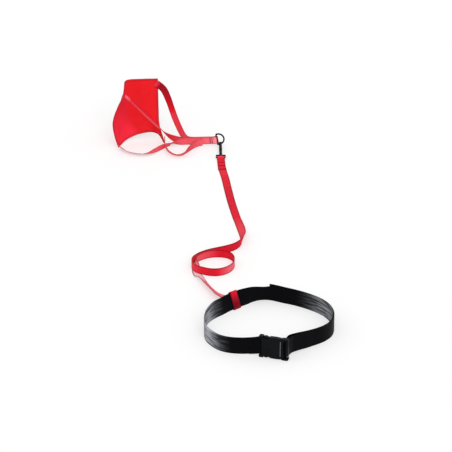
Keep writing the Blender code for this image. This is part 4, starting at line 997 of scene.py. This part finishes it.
def make_ring(plastic):
    """Make the D-ring as a round moulded wire."""
    inner = RING_BAR_HALF - RING_CORNER
    outline = arc((RING_STRAIGHT, 0.0), RING_BAR_HALF, -90, 90, 36)
    outline += arc((RING_CORNER, inner), RING_CORNER, 90, 180, 8)
    outline += arc((RING_CORNER, -inner), RING_CORNER, 180, 270, 8)
    outline = [turned(x, z, -RING_TILT) for x, z in outline]
    line = np.array([RING_AT + (x, 0.0, z) for x, z in outline])
    ahead = unit(np.roll(line, -1, axis=0) - np.roll(line, 1, axis=0))
    up = np.array([0.0, 1.0, 0.0])
    verts, weave = [], []
    for i, point in enumerate(line):
        other = np.cross(ahead[i], up)
        for k in range(RING_SIDES):
            a = 2 * math.pi * k / RING_SIDES
            verts.append(point + RING_WIRE * (math.cos(a) * up + math.sin(a) * other))
            weave.append((i, k, 0.0))
    ring = mesh_piece("ring", verts, rings(len(line), RING_SIDES, closed=True), weave, plastic)
    put(ring, "ring", "black_plastic", "d_ring")


# Stage and light: the floor's half width in metres, and the levels of floor, surround and lamp
FLOOR_HALF = 6.0
FLOOR_GLOW = 0.48
FLOOR_COLOUR, FLOOR_SEEN_COLOUR = (0.8, 0.8, 0.8, 1.0), (0.55, 0.55, 0.55, 1.0)
SURROUND_LIGHT, SURROUND_SEEN = 0.72, 1.0
LAMP_STRENGTH = 1.2
LAMP_ANGLE = math.radians(45.0)
LAMP_TURN = (math.radians(50.0), math.radians(10.0), 0.0)
WHITE = (1.0, 1.0, 1.0, 1.0)
SEEN_RAYS = ("Is Camera Ray", "Is Glossy Ray", "Is Transmission Ray")


def seen_share(tree):
    """Return an output that is 1 for camera, glossy and transmission rays, and else 0."""
    path = tree.nodes.new("ShaderNodeLightPath")
    seen = path.outputs[SEEN_RAYS[0]]
    for kind in SEEN_RAYS[1:]:
        most = tree.nodes.new("ShaderNodeMath")
        most.operation = "MAXIMUM"
        tree.links.new(seen, most.inputs[0])
        tree.links.new(path.outputs[kind], most.inputs[1])
        seen = most.outputs[0]
    return seen


def make_floor():
    """Make a plain pale floor, which glows a little where it is seen."""
    far = FLOOR_HALF
    corners = [(-far, -far, 0), (far, -far, 0), (far, far, 0), (-far, far, 0)]
    mesh = bpy.data.meshes.new("floor")
    mesh.from_pydata(corners, [], [(0, 1, 2, 3)])
    floor = add("floor", mesh)
    s = Shader("floor")
    seen = seen_share(s.tree)
    glow = s.math("MULTIPLY", seen, FLOOR_GLOW)
    s.set(Base_Color=s.mix(seen, FLOOR_COLOUR, FLOOR_SEEN_COLOUR), Roughness=0.9, Specular_IOR_Level=0.0,
          Emission_Color=WHITE, Emission_Strength=glow)
    mesh.materials.append(s.material)


def make_light():
    """Make a white surround and one broad soft lamp from above."""
    surround = bpy.data.worlds.new("surround")
    surround.use_nodes = True
    tree = surround.node_tree
    level = tree.nodes.new("ShaderNodeMapRange")
    level.inputs[3].default_value = SURROUND_LIGHT
    level.inputs[4].default_value = SURROUND_SEEN
    tree.links.new(seen_share(tree), level.inputs[0])
    tree.links.new(level.outputs[0], tree.nodes["Background"].inputs[1])
    tree.nodes["Background"].inputs[0].default_value = WHITE
    SCENE.world = surround

    sun = bpy.data.lights.new("softbox", "SUN")
    sun.energy = LAMP_STRENGTH
    sun.angle = LAMP_ANGLE
    lamp = add("softbox", sun)
    lamp.rotation_euler = LAMP_TURN
    SCENE.view_settings.view_transform = "Standard"


# The part's own solids that stay, with a better material
PLASTIC_NODES = ("buckle_socket", "buckle_plug", "buckle_arm_upper", "buckle_arm_lower",
                 "swivel_eye", "snap_hook", "hook_gate")
STEEL_NODES = ("swivel_pin", "gate_pin")


def main():
    """Make the camera and the cord first, then the other pieces, then the stage and its light."""
    make_camera()
    red = webbing_material("webbing_red", edge=0.7)
    strap_red = webbing_material("webbing_red_strap", edge=0.34)
    black = belt_material("webbing_black")
    nylon = nylon_material("nylon_red")
    red_thread = thread_material("thread_red", (92, 8, 26), (150, 40, 56))
    rose_thread = thread_material("thread_rose", (224, 70, 86), (250, 120, 134))
    black_thread = thread_material("thread_black", (8, 8, 9), (24, 24, 27))
    plastic = plastic_material("plastic_black", (9, 11, 14), roughness=0.32, specular=0.07)
    # Pale grey plastic for the socket's rim: a painted highlight.
    painted_highlight = plastic_material("plastic_painted_highlight", (150, 152, 156), roughness=0.24, specular=0.4)
    steel = steel_material("steel_pin")
    make_leash(red, red_thread)
    make_belt(black, black_thread)
    make_sheet(nylon, red_thread)
    make_straps(strap_red, rose_thread)
    make_tab(strap_red, red_thread)
    make_ring(plastic)
    make_rim(painted_highlight)
    make_hook_trim(plastic)
    for names, material in ((PLASTIC_NODES, plastic), (STEEL_NODES, steel)):
        for name in names:
            for slot in NODES[name].material_slots:
                slot.material = material
    make_floor()
    make_light()


main()
